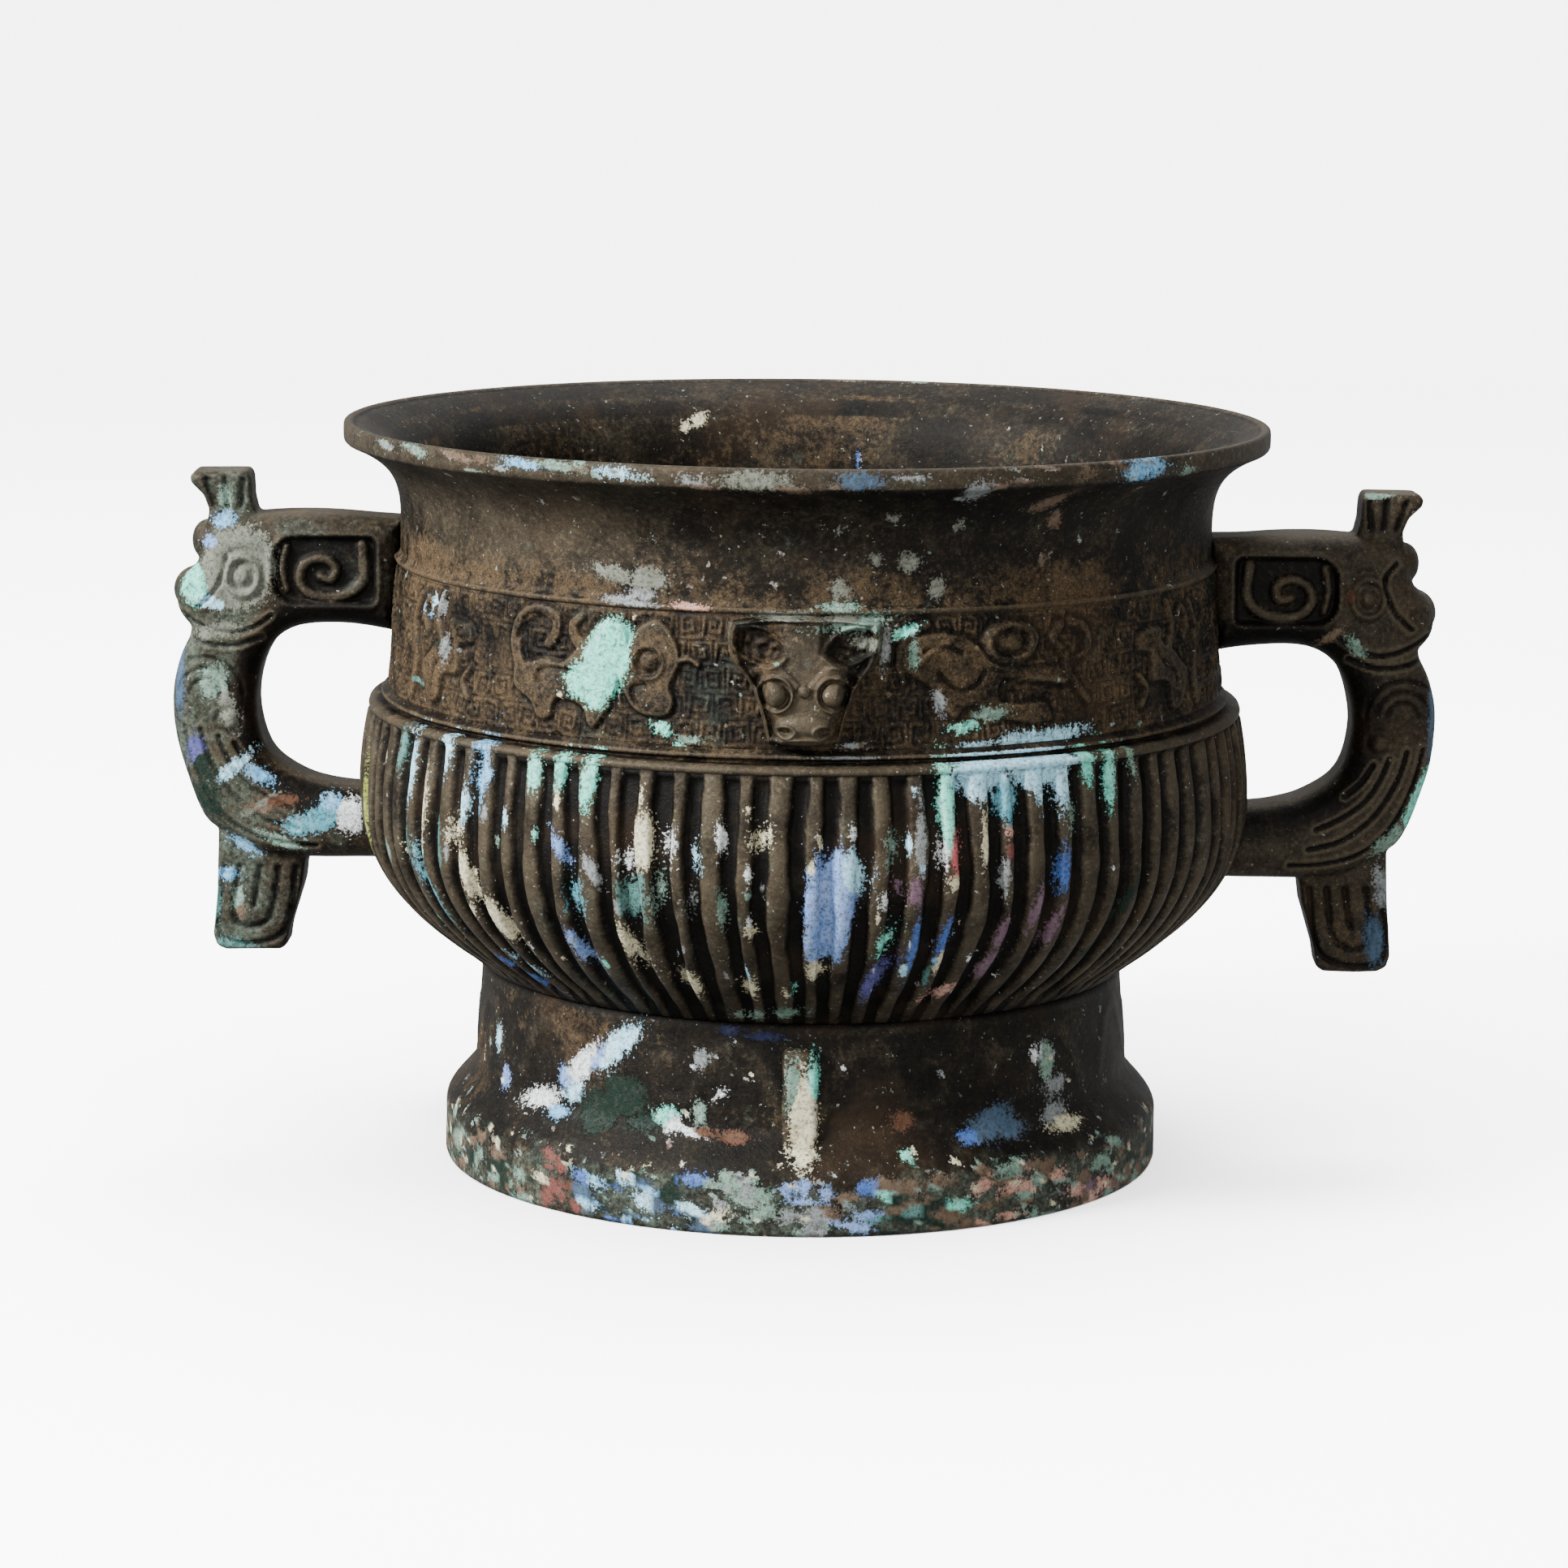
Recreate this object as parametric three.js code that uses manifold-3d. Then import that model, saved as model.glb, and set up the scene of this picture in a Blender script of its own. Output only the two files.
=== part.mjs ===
// A cast bronze gui: a ribbed two-handled food bowl on a ring foot, one hollow casting.
// Millimetres, +Z up, the foot stands on z = 0. The masks face -Y and +Y, the handles lie on X.
import * as THREE from "three";
import { mergeVertices } from "three/addons/utils/BufferGeometryUtils.js";
import Module from "manifold-3d";

// The sections of the body, from the ground up, each with a height of its own.
const foot = { height: 43.6, topRadius: 70.2, wallRadius: 71.7, baseRadius: 78.4, wall: 4.2 };
const step = { top: 22, bottom: 11, rows: 3, edge: 0.8 };
const belly = { height: 55.8, radius: 97.2, shoulder: 2.2, wideAt: 36.4, fullness: 2.2 };
const rings = { height: 4.6, lowerSet: 1, grooveProud: 0.4, upperProud: 1.4 };
const ringShares = { lower: 0.36, groove: 0.5, upper: 0.7 };
const band = { height: 28.6, radius: 90.5, lean: 2.1, ridge: 0.7, ridgeHeight: 1.6 };
const neck = { height: 28.8, inset: 0.5, flare: 5, rows: 4, rowSpacing: 0.6 };
const rim = { radius: 100, face: 4.4, edge: 0.8 };

// The walls. Below its widest line the bowl's inside is squarer than an ellipse.
const wall = 3.5;
const floor = { thickness: 3.8, edgeThickness: 4.5, above: 38, squareness: 2.4, rows: 4 };
const undersideShares = [0.92, 0.55, 0];

// The ribs of the belly: each is a crest and a groove.
const rib = { count: 90, depth: 1.8, rows: 5, rowSpacing: 1.5, bedding: 0.6, backing: 7 };

// Relief on the band. The dragons at the back have fewer lines.
const relief = { height: 1.1, eyeHeight: 1.7, bedding: 1.5, narrowing: 0.3 };
const dragons = { perQuarter: 2, drawnHeight: 28.6, lines: 6, backLines: 2, headSides: 8, eyeSides: 6 };
const mask = { topHalf: 14, bottomHalf: 6.5, lift: 1.4, gap: 2.2, plate: 3.4, face: 6.6, bedding: 4.5 };

// The handles: C-shaped beasts. The arm's heights are from the band's top, the lower arm's from
// the belly's widest line, and the gap is from the belly to the loop. One handle sits higher.
const handle = {
  width: 20, gap: 22, loopThickness: 18.2, bevel: 5.5, rise: 1.2, lineSteps: 8,
  armOver: 5.8, armUnder: 19.6, lowerOver: -1, lowerUnder: 16.2,
};
const horn = { width: 12, base: 11.4, top: 12.8, height: 9.8, lean: 2, bevel: 1.2 };
const pendant = { width: 13, length: 21, top: 20, bottom: 16, inset: 9.6, lean: 1.4, bevel: 1.6 };
const eye = { radius: 3.9, back: 15.9, down: 12.3 };
const snout = { radius: 4.8, back: 5, down: 17.6 };
const panel = { length: 22, height: 15, depth: 1.4, back: 33.6, down: 11, curl: 6, line: 2.4 };
const wing = { back: 8.6, up: 3, curl: 7, line: 2 };
const curl = { turn: 1.6 * Math.PI, closing: 0.55, steps: 4 };

// The bars on the foot, between the step and the joint with the bowl.
const bar = { width: 7.4, proud: 3, overStep: 4.9, underJoint: 5.2, sides: 10 };

const bodySides = 45;
const ballSides = 6;
const snoutSides = 8;
const overcut = 2;
const touching = 0.01;

const footTop = foot.height;
const bellyWide = footTop + belly.wideAt;
const fluteTop = footTop + belly.height;
const bandFoot = fluteTop + rings.height;
const bandTop = bandFoot + band.height;
const height = bandTop + neck.height;
const bowlRadius = belly.radius - rib.depth - wall;
const shoulderRadius = belly.radius - belly.shoulder;
const bandTopRadius = band.radius - band.lean;
const neckRadius = bandTopRadius - neck.inset;
const reach = belly.radius + handle.gap + handle.loopThickness;
const armTop = bandTop + handle.armOver;
const armFoot = bandTop - handle.armUnder;
const lowerTop = bellyWide + handle.lowerOver;
const lowerFoot = bellyWide - handle.lowerUnder;
const loopMiddle = (armFoot + lowerTop) / 2;

const wasm = await Module();
wasm.setup();

// A closed three.js geometry as a solid: shared corners are merged and empty faces dropped.
function toSolid(geometry) {
  const bare = geometry.clone();
  bare.deleteAttribute("normal");
  bare.deleteAttribute("uv");
  const merged = mergeVertices(bare, 1e-4);
  const index = merged.index.array;
  const kept = [];
  for (let i = 0; i < index.length; i += 3) {
    const [a, b, c] = [index[i], index[i + 1], index[i + 2]];
    if (a !== b && b !== c && c !== a) kept.push(a, b, c);
  }
  return new wasm.Manifold(new wasm.Mesh({
    numProp: 3,
    vertProperties: new Float32Array(merged.attributes.position.array),
    triVerts: new Uint32Array(kept),
  }));
}

function toGeometry(solid) {
  const mesh = solid.getMesh();
  const geometry = new THREE.BufferGeometry();
  geometry.setAttribute("position", new THREE.BufferAttribute(mesh.vertProperties, 3));
  geometry.setIndex(new THREE.BufferAttribute(mesh.triVerts, 1));
  const faceted = geometry.toNonIndexed();
  faceted.computeVertexNormals();
  return faceted;
}

// A profile of [radius, height] pairs, turned about Z.
function turned(profile, sides = bodySides) {
  const points = profile.map(([r, z]) => new THREE.Vector2(r, z));
  return new THREE.LatheGeometry(points, sides).rotateX(Math.PI / 2);
}

function shapeOf(points) {
  return new THREE.Shape(points.map(([x, y]) => new THREE.Vector2(x, y)));
}

function smooth(points, count) {
  const curve = new THREE.SplineCurve(points.map(([x, y]) => new THREE.Vector2(x, y)));
  return curve.getPoints(count).map((p) => [p.x, p.y]);
}

function smoothstep(t) {
  return t * t * (3 - 2 * t);
}

function steps(count, make) {
  return Array.from({ length: count + 1 }, (_, i) => make(i / count));
}

// The radius over the crests of the ribs.
function crestRadius(z) {
  if (z >= bellyWide) {
    const t = (z - bellyWide) / (fluteTop - bellyWide);
    return belly.radius - belly.shoulder * t * t;
  }
  const t = Math.min(1, (bellyWide - z) / belly.wideAt);
  return belly.radius - (belly.radius - foot.topRadius) * t ** belly.fullness;
}

function footRadius(z) {
  if (z >= step.top) {
    const t = (footTop - z) / (footTop - step.top);
    return foot.topRadius + (foot.wallRadius - foot.topRadius) * t;
  }
  const t = Math.min(1, (step.top - z) / (step.top - step.bottom));
  return foot.wallRadius + (foot.baseRadius - foot.wallRadius) * smoothstep(t);
}

function bandRadius(z) {
  const t = (z - bandFoot) / band.height;
  return band.radius - band.lean * t;
}

// The neck's curve, from the band's top out to the lip.
function flared(fromRadius, toRadius, top) {
  return steps(neck.rows, (share) => {
    const t = share ** neck.rowSpacing;
    return [fromRadius + (toRadius - fromRadius) * t ** neck.flare, bandTop + (top - bandTop) * t];
  });
}

// The outer profile from the ground to the lip. Behind the ribs it runs inside their ring.
function outerProfile() {
  return [
    [0, 0],
    [foot.baseRadius - step.edge, 0],
    [foot.baseRadius, step.edge],
    ...steps(step.rows, (t) => {
      const z = step.bottom + (step.top - step.bottom) * t;
      return [footRadius(z), z];
    }),
    [foot.topRadius, footTop - 2 * step.edge],
    [foot.topRadius - rib.depth / 2, footTop],
    [belly.radius - rib.backing, bellyWide],
    [shoulderRadius - rib.depth - rib.bedding, fluteTop - rib.bedding],
    [shoulderRadius, fluteTop],
    [shoulderRadius - rings.lowerSet, fluteTop + rings.height * ringShares.lower],
    [band.radius + rings.grooveProud, fluteTop + rings.height * ringShares.groove],
    [band.radius + rings.upperProud, fluteTop + rings.height * ringShares.upper],
    [band.radius, bandFoot],
    [bandTopRadius, bandTop - band.ridgeHeight],
    [bandTopRadius + band.ridge, bandTop - band.ridgeHeight / 2],
    [bandTopRadius, bandTop],
    ...flared(neckRadius, rim.radius - rim.edge, height - rim.face).slice(1),
    [rim.radius, height - rim.edge],
    [rim.radius - rim.edge, height],
    [0, height],
  ];
}

// The height of the bowl's inside at a radius.
function bowlHeight(r) {
  const rise = (1 - Math.min(1, r / bowlRadius) ** floor.squareness) ** (1 / floor.squareness);
  return bellyWide - (bellyWide - floor.above) * rise;
}

function bowlCavity() {
  const lipInside = rim.radius - 2 * rim.edge;
  return turned([
    ...steps(floor.rows, (t) => {
      const r = bowlRadius * Math.sin((t * Math.PI) / 2) ** (2 / floor.squareness);
      return [r, bowlHeight(r)];
    }),
    [band.radius - wall, bandFoot],
    ...flared(neckRadius - wall, lipInside, height),
    [lipInside, height + overcut],
    [0, height + overcut],
  ]);
}

// The hollow inside the ring foot, up to the underside of the bowl.
function footCavity() {
  const topRadius = foot.topRadius - foot.wall;
  const under = (share) => {
    const thickness = floor.thickness + (floor.edgeThickness - floor.thickness) * share * share;
    return [topRadius * share, bowlHeight(topRadius * share) - thickness];
  };
  return turned([
    [0, -overcut],
    [foot.baseRadius - foot.wall, -overcut],
    [foot.baseRadius - foot.wall, step.bottom],
    [foot.wallRadius - foot.wall, step.top],
    [topRadius, under(1)[1] - foot.wall / 2],
    ...undersideShares.map(under),
  ]);
}

// The ribbed skin of the belly: a ring whose every second column is drawn in as a groove.
function ribRing() {
  const crest = steps(rib.rows, (t) => {
    const z = footTop + belly.height * t ** rib.rowSpacing;
    return [crestRadius(z), z];
  });
  const profile = [
    [foot.topRadius - rib.backing, footTop],
    ...crest,
    [shoulderRadius - rib.backing, fluteTop],
    [foot.topRadius - rib.backing, footTop],
  ];
  const geometry = turned(profile, 2 * rib.count);
  const position = geometry.attributes.position;
  for (let i = 0; i < position.count; i++) {
    const [x, y, z] = [position.getX(i), position.getY(i), position.getZ(i)];
    const r = Math.hypot(x, y);
    const column = Math.round((Math.atan2(y, x) / Math.PI) * rib.count);
    const onCrest = Math.abs(r - crestRadius(z)) < touching;
    const atEnd = z < footTop + touching || z > fluteTop - touching;
    if (!onCrest || atEnd || column % 2 === 0) continue;
    const slope = (crestRadius(z + touching) - crestRadius(z - touching)) / (2 * touching);
    const share = (r - rib.depth * Math.hypot(1, slope)) / r;
    position.setXY(i, x * share, y * share);
  }
  return geometry;
}

// A stroke of relief along a line, `width` wide at its start and narrower at its end.
function ribbon(points, width, count, depth) {
  const line = count > 1 ? smooth(points, count) : points;
  const sides = [[], []];
  line.forEach(([x, y], i) => {
    const [ax, ay] = line[Math.max(0, i - 1)];
    const [bx, by] = line[Math.min(line.length - 1, i + 1)];
    const length = Math.hypot(bx - ax, by - ay);
    const [nx, ny] = [(ay - by) / length, (bx - ax) / length];
    const half = (width / 2) * (1 - (relief.narrowing * i) / (line.length - 1));
    sides[0].push([x + nx * half, y + ny * half]);
    sides[1].unshift([x - nx * half, y - ny * half]);
  });
  const outline = shapeOf([...sides[0], ...sides[1]]);
  return new THREE.ExtrudeGeometry(outline, { depth, bevelEnabled: false });
}

function disc([x, y], radius, sides, depth) {
  return new THREE.CylinderGeometry(radius, radius, depth, sides)
    .rotateX(Math.PI / 2)
    .translate(x, y, depth / 2);
}

// Bends flat relief, drawn as (along, up, out), onto the band at an angle from the front.
function wrapped(geometry, angle) {
  const position = geometry.attributes.position;
  for (let i = 0; i < position.count; i++) {
    const z = bandFoot + position.getY(i);
    const radius = bandRadius(z) - relief.bedding + position.getZ(i);
    const turn = angle + position.getX(i) / band.radius - Math.PI / 2;
    position.setXYZ(i, radius * Math.cos(turn), radius * Math.sin(turn), z);
  }
  return geometry;
}

// The two dragons, drawn for a band of `drawnHeight` about the middle of their own length.
// Each line is [width, steps, ...points].
const crestedDragon = {
  lines: [
    [2.8, 4, [19.4, 15], [19.6, 21], [15, 25.2], [10.6, 23.5], [10.6, 19]],
    [5.2, 3, [19, 15], [17.4, 9.4], [9, 8.8], [-1, 10.4], [-8, 14]],
    [3, 2, [-4, 14.5], [0, 19.6], [4.6, 22.4], [5.4, 19.4]],
    [3.6, 1, [14.4, 8.4], [12.6, 3.6]],
    [3.6, 1, [0, 9.4], [0.4, 3]],
    [3, 2, [-9, 11.5], [-11.5, 6], [-16.4, 5.6], [-18, 9.6]],
  ],
  head: [-12.6, 16.6],
  headRadius: 5.6,
  eyeRadius: 2.9,
};
const trunkedDragon = {
  lines: [
    [2.6, 2, [-19, 8], [-19.6, 15.4], [-16, 21], [-9.6, 24.6]],
    [6.4, 2, [-13.6, 3.6], [-12.4, 10], [-6.6, 14.4], [0.4, 14.4]],
    [1.8, 2, [-6.6, 18.6], [-2, 14], [6.6, 13], [14.4, 14.4]],
    [3, 3, [17.4, 9.8], [9.4, 10.6], [2.6, 9.8], [0.2, 6.6], [3.4, 4.4]],
    [2.6, 3, [11.4, 18.6], [13, 23.8], [18, 24], [21, 19.4], [19.4, 14.4]],
  ],
  head: [-0.6, 20],
  headRadius: 5.2,
  eyeRadius: 3,
};

function dragon(design, lineCount, angle, facing) {
  const scale = band.height / dragons.drawnHeight;
  const at = ([x, y]) => [x * scale * facing, y * scale];
  const depth = relief.bedding + relief.height;
  const eyeDepth = relief.bedding + relief.eyeHeight;
  const lines = design.lines.slice(0, lineCount).map(([width, count, ...points]) => {
    return ribbon(points.map(at), width * scale, count, depth);
  });
  const head = disc(at(design.head), design.headRadius * scale, dragons.headSides, depth);
  const pupil = disc(at(design.head), design.eyeRadius * scale, dragons.eyeSides, eyeDepth);
  const flat = wasm.Manifold.union([...lines, head, pupil].map(toSolid));
  return toSolid(wrapped(toGeometry(flat), angle));
}

// The dragons share out the band between each mask and each handle.
function frieze() {
  const solids = [];
  const from = Math.asin(mask.topHalf / band.radius);
  const to = Math.PI / 2 - Math.asin(handle.width / 2 / band.radius);
  for (const [turn, lineCount] of [[0, dragons.lines], [Math.PI, dragons.backLines]]) {
    for (let i = 0; i < dragons.perQuarter; i++) {
      const angle = from + ((to - from) * (i + 0.5)) / dragons.perQuarter;
      solids.push(dragon(crestedDragon, lineCount, turn - angle, -1));
      solids.push(dragon(trunkedDragon, lineCount, turn + angle, 1));
    }
  }
  return solids;
}

// Stands flat relief, drawn as (across, up, out from the axis), at the front or the back.
function faced(geometry, back) {
  geometry.rotateX(Math.PI / 2);
  return toSolid(back ? geometry.rotateZ(Math.PI) : geometry);
}

function ball([x, y, z], [rx, ry, rz], sides = ballSides) {
  return new THREE.SphereGeometry(1, sides, Math.ceil(sides / 2) + 1).scale(rx, ry, rz).translate(x, y, z);
}

// An outline extruded from z = 0 to `depth`, with its edges taken off inside the outline.
function bevelled(outline, depth, bevel, bevelSegments) {
  return new THREE.ExtrudeGeometry(shapeOf(outline), {
    depth: depth - 2 * bevel, bevelSize: bevel, bevelOffset: -bevel, bevelThickness: bevel, bevelSegments,
  }).translate(0, 0, bevel);
}

function centred(outline, width, bevel, bevelSegments) {
  return bevelled(outline, width, bevel, bevelSegments).translate(0, 0, -width / 2);
}

// A horned face: a plate with ears, a wedge of forehead and cheeks, eyes and a muzzle.
// Its carving is in shares of its own height and half width.
function beastMask(back) {
  const surface = (band.radius + bandTopRadius) / 2;
  const front = surface + mask.face;
  const low = bandFoot + mask.lift;
  const tall = band.height - mask.lift - mask.gap;
  const up = (share) => low + tall * share;
  const across = (share) => mask.topHalf * share;
  const block = (half, out, bevel) => {
    const outline = [...half, ...half.map(([x, y]) => [-x, y]).reverse()];
    return bevelled(outline, mask.bedding + out, bevel, 1).translate(0, 0, surface - mask.bedding);
  };
  const plate = [
    [mask.bottomHalf, up(0)], [across(0.8), up(0.52)], [across(1), up(0.74)], [across(0.97), up(1)],
  ];
  const face = [
    [mask.bottomHalf * 0.9, up(0.02)], [across(0.62), up(0.42)], [across(0.3), up(0.72)], [across(0.42), up(0.98)],
  ];
  const pieces = [
    block(plate, mask.plate, 1),
    block(face, mask.face, 2),
    ball([0, up(0.15), front - 2], [mask.bottomHalf * 0.95, tall * 0.13, 3.6]),
  ];
  for (const side of [-1, 1]) {
    pieces.push(ball([side * across(0.38), up(0.41), front - 0.8], [2.9, 3, 2.4]));
    pieces.push(ball([side * across(0.64), up(0.8), surface + mask.plate], [4.6, 3.6, 2.2]));
  }
  return pieces.map((g) => faced(g, back));
}

function footBar(back) {
  const low = step.bottom + bar.overStep;
  const length = footTop - bar.underJoint - low;
  const geometry = new THREE.CylinderGeometry(bar.width / 2, bar.width / 2, length, bar.sides)
    .scale(1, 1, bar.proud / (bar.width / 2))
    .translate(0, low + length / 2, (foot.topRadius + foot.wallRadius) / 2);
  return faced(geometry, back);
}

// The radius of the middle of the wall, in which a handle is rooted.
function rootAt(z) {
  if (z < fluteTop) return crestRadius(z) - rib.depth - wall / 2;
  return (z < bandTop ? bandRadius(z) : neckRadius) - wall / 2;
}

// The silhouette of a handle, as (out from the axis, up): head, outside of the loop, inside.
function handleOutline() {
  const inside = reach - handle.loopThickness;
  const along = (z, share) => rootAt(z) + (inside - rootAt(z)) * share;
  const head = [
    [reach - 32, armTop + 0.8], [reach - 20, armTop + 0.6], [reach - 8, armTop - 3], [reach - 6, armTop - 9.6],
    [reach - 3.4, armTop - 12.6], [reach - 1, armTop - 16], [reach - 1, armTop - 20.6],
  ];
  const outer = smooth([
    [reach - 3.6, armFoot + 0.6], [reach - 1.4, armFoot - 6], [reach, loopMiddle + 3], [reach - 1.4, loopMiddle - 9],
    [reach - 6.4, lowerTop - 6], [reach - 12, lowerFoot + 5], [reach - 19, lowerFoot + 0.8], [reach - 27, lowerFoot],
  ], handle.lineSteps);
  const inner = smooth([
    [along(lowerTop, 0.33), lowerTop + 1], [along(lowerTop, 0.65), lowerTop + 3.4], [inside - 2.4, lowerTop + 8.6],
    [inside, loopMiddle + 2], [inside - 2.2, armFoot - 4.6], [along(armFoot, 0.74), armFoot + 1.2],
    [along(armFoot, 0.42), armFoot + 2.4],
  ], handle.lineSteps);
  return [
    [rootAt(armTop), armTop],
    ...head,
    ...outer,
    [rootAt(lowerFoot), lowerFoot],
    [rootAt(lowerTop), lowerTop],
    ...inner,
    [rootAt(armFoot), armFoot],
  ];
}

function hornOutline() {
  const inner = reach - handle.loopThickness - 0.8;
  const top = armTop + horn.height;
  return [
    [inner, armTop - 2], [inner + horn.base, armTop - 2], [inner + horn.base - 0.6, armTop + 2],
    [inner + horn.lean + horn.top, top - 1.6], [inner + horn.lean + horn.top - 1.4, top], [inner + horn.lean, top],
  ];
}

function pendantOutline() {
  const outer = reach - pendant.inset;
  const bottom = lowerFoot - pendant.length;
  return [
    [outer - pendant.top, lowerFoot + 6], [outer, lowerFoot + 6], [outer + pendant.lean, bottom + 3],
    [outer + pendant.lean - 2, bottom], [outer + pendant.lean - pendant.bottom, bottom],
  ];
}

function curlLine([x, y], radius, from, turn) {
  return steps(curl.steps + 1, (t) => {
    const r = radius * (1 - curl.closing * t);
    return [x + r * Math.cos(from + turn * t), y + r * Math.sin(from + turn * t)];
  });
}

// Carving that runs through a handle and stands proud of both its faces.
function handleCarving() {
  const depth = handle.width + 2 * relief.height;
  const panelCurl = curlLine([reach - panel.back, armTop - panel.down], panel.curl, Math.PI / 2, -curl.turn);
  const wingCurl = curlLine([reach - wing.back, loopMiddle + wing.up], wing.curl, -Math.PI / 2, curl.turn);
  const through = [
    disc([reach - eye.back, armTop - eye.down], eye.radius, dragons.headSides, depth),
    ribbon(panelCurl, panel.line, curl.steps, depth),
    ribbon(wingCurl, wing.line, curl.steps, depth),
  ].map((g) => g.translate(0, 0, -depth / 2));
  const size = [snout.radius, snout.radius, handle.width * 0.45];
  return [...through, ball([reach - snout.back, armTop - snout.down, 0], size, snoutSides)];
}

// The sunk panels on the two faces of the upper arm.
function handlePanels() {
  return [-1, 1].map((side) => new THREE.BoxGeometry(panel.length, panel.height, 2 * panel.depth)
    .translate(reach - panel.back, armTop - panel.down, (side * handle.width) / 2));
}

function beastHandle(side) {
  const stood = (g) => {
    g.rotateX(Math.PI / 2);
    if (side < 0) g.rotateZ(Math.PI);
    return toSolid(g.translate(0, 0, -side * handle.rise));
  };
  const loop = stood(centred(handleOutline(), handle.width, handle.bevel, 2));
  const sunk = handlePanels().map(stood);
  const added = [
    centred(hornOutline(), horn.width, horn.bevel, 1),
    centred(pendantOutline(), pendant.width, pendant.bevel, 1),
    ...handleCarving(),
  ].map(stood);
  return wasm.Manifold.union([loop.subtract(wasm.Manifold.union(sunk)), ...added]);
}

function vesselSolid() {
  const outside = wasm.Manifold.union([
    toSolid(turned(outerProfile())),
    toSolid(ribRing()),
    ...frieze(),
    ...[false, true].flatMap(beastMask),
    ...[false, true].map(footBar),
    ...[-1, 1].map(beastHandle),
  ]);
  return outside.subtract(toSolid(bowlCavity())).subtract(toSolid(footCavity()));
}

const bronze = new THREE.MeshStandardMaterial({
  name: "patinated bronze", color: 0x4a3a2b, roughness: 0.55, metalness: 0.7, flatShading: true,
});
const vessel = new THREE.Mesh(toGeometry(vesselSolid()), bronze);
vessel.name = "vessel";

const group = new THREE.Group();
group.name = "bronze gui vessel";
group.add(vessel);

export default group;
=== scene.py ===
import math

import bpy
import numpy as np
from bpy.props import FloatProperty, FloatVectorProperty, IntProperty, PointerProperty
from bpy.types import Operator, Panel, PropertyGroup
from mathutils import Euler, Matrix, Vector


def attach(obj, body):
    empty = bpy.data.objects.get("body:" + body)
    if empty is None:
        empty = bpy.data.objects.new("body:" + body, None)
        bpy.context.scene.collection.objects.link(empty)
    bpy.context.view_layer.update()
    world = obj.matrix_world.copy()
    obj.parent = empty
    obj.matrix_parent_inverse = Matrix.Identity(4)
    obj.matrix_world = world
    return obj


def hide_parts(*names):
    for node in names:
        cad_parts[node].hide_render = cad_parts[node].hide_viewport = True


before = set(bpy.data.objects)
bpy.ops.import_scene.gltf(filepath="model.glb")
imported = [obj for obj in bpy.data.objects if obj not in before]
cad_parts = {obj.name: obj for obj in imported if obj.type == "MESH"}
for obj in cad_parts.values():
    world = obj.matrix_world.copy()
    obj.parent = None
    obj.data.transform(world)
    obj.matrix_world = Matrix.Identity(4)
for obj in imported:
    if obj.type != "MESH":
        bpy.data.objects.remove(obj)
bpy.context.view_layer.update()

bl_info = {
    "name": "Bronze gui vessel",
    "version": (1, 0, 0),
    "blender": (4, 5, 0),
    "location": "3D View > Sidebar > Gui vessel",
    "description": "A ribbed bronze gui with beast-head handles, patinated and daubed with paint",
    "category": "Object",
}

MM = 0.001

# Heights from the ground in millimetres, the same as the solid's.
STEP_FOOT, STEP_TOP, FOOT_TOP, BELLY_WIDE = 11.0, 22.0, 43.6, 80.0
FLUTE_TOP, BAND_FOOT, BAND_TOP, NECK_TOP, HEIGHT = 99.4, 104.0, 132.6, 156.8, 161.4
# Radii and other sizes in millimetres, from the foot up.
FOOT_RADIUS, FOOT_SPREAD, FOOT_WALL = 78.4, 6.7, 4.2
BELLY_RADIUS, BELLY_DRAWN_IN, BELLY_FULLNESS, SHOULDER = 97.2, 27.0, 2.2, 2.2
BAND_RADIUS, BAND_LEAN = 90.5, 2.1
NECK_RADIUS, LIP_RADIUS, NECK_FLARE = 87.9, 99.2, 5
BOWL_RADIUS, BOWL_DEPTH, BOWL_ROUNDNESS = 91.9, 42.0, 2.4
THROAT_RADIUS, THROAT_SPREAD = 84.4, 14.0
# The masks: foot, height, and how far their ground stands out from the axis.
MASK_FOOT, MASK_HEIGHT, MASK_OUT = BAND_FOOT + 1.4, 25.0, 92.4
# The bars on the foot: width, depth and height, and how far out and how high their middles are.
BAR_SIZE, BAR_OUT, BAR_MIDDLE = (7.4, 5.0, 22.5), 71.6, 27.1
# The scrolls on the wall of the foot.
SCROLL_RADIUS, SCROLL_COUNT = 71, 12
# The handles: how far out they reach, and the tops and undersides of the arm and the lower bar.
REACH, ARM_TOP, ARM_FOOT, LOWER_TOP, LOWER_FOOT = 137.4, 138.4, 113.0, 79.0, 63.8
LOOP_MIDDLE = (ARM_FOOT + LOWER_TOP) / 2
# The left handle stands higher than the middle by the rise, and the right one lower.
HANDLE_WIDTH, HORN_WIDTH, PENDANT_WIDTH, HANDLE_RISE = 20.0, 12.0, 13.0, 1.2
# The square spirals, and what the creatures leave free on each side of a mask's and a handle's middle.
SPIRAL_TILE, SPIRAL_PITCH = 5.3, 1.45
MASK_ROOM, HANDLE_ROOM, CREATURE_REACH = 14, 10, 26
# How finely the body and the belly are spun.
BODY_COLUMNS, COLUMNS_PER_RIB, BELLY_ROWS = 352, 16, 58

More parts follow.
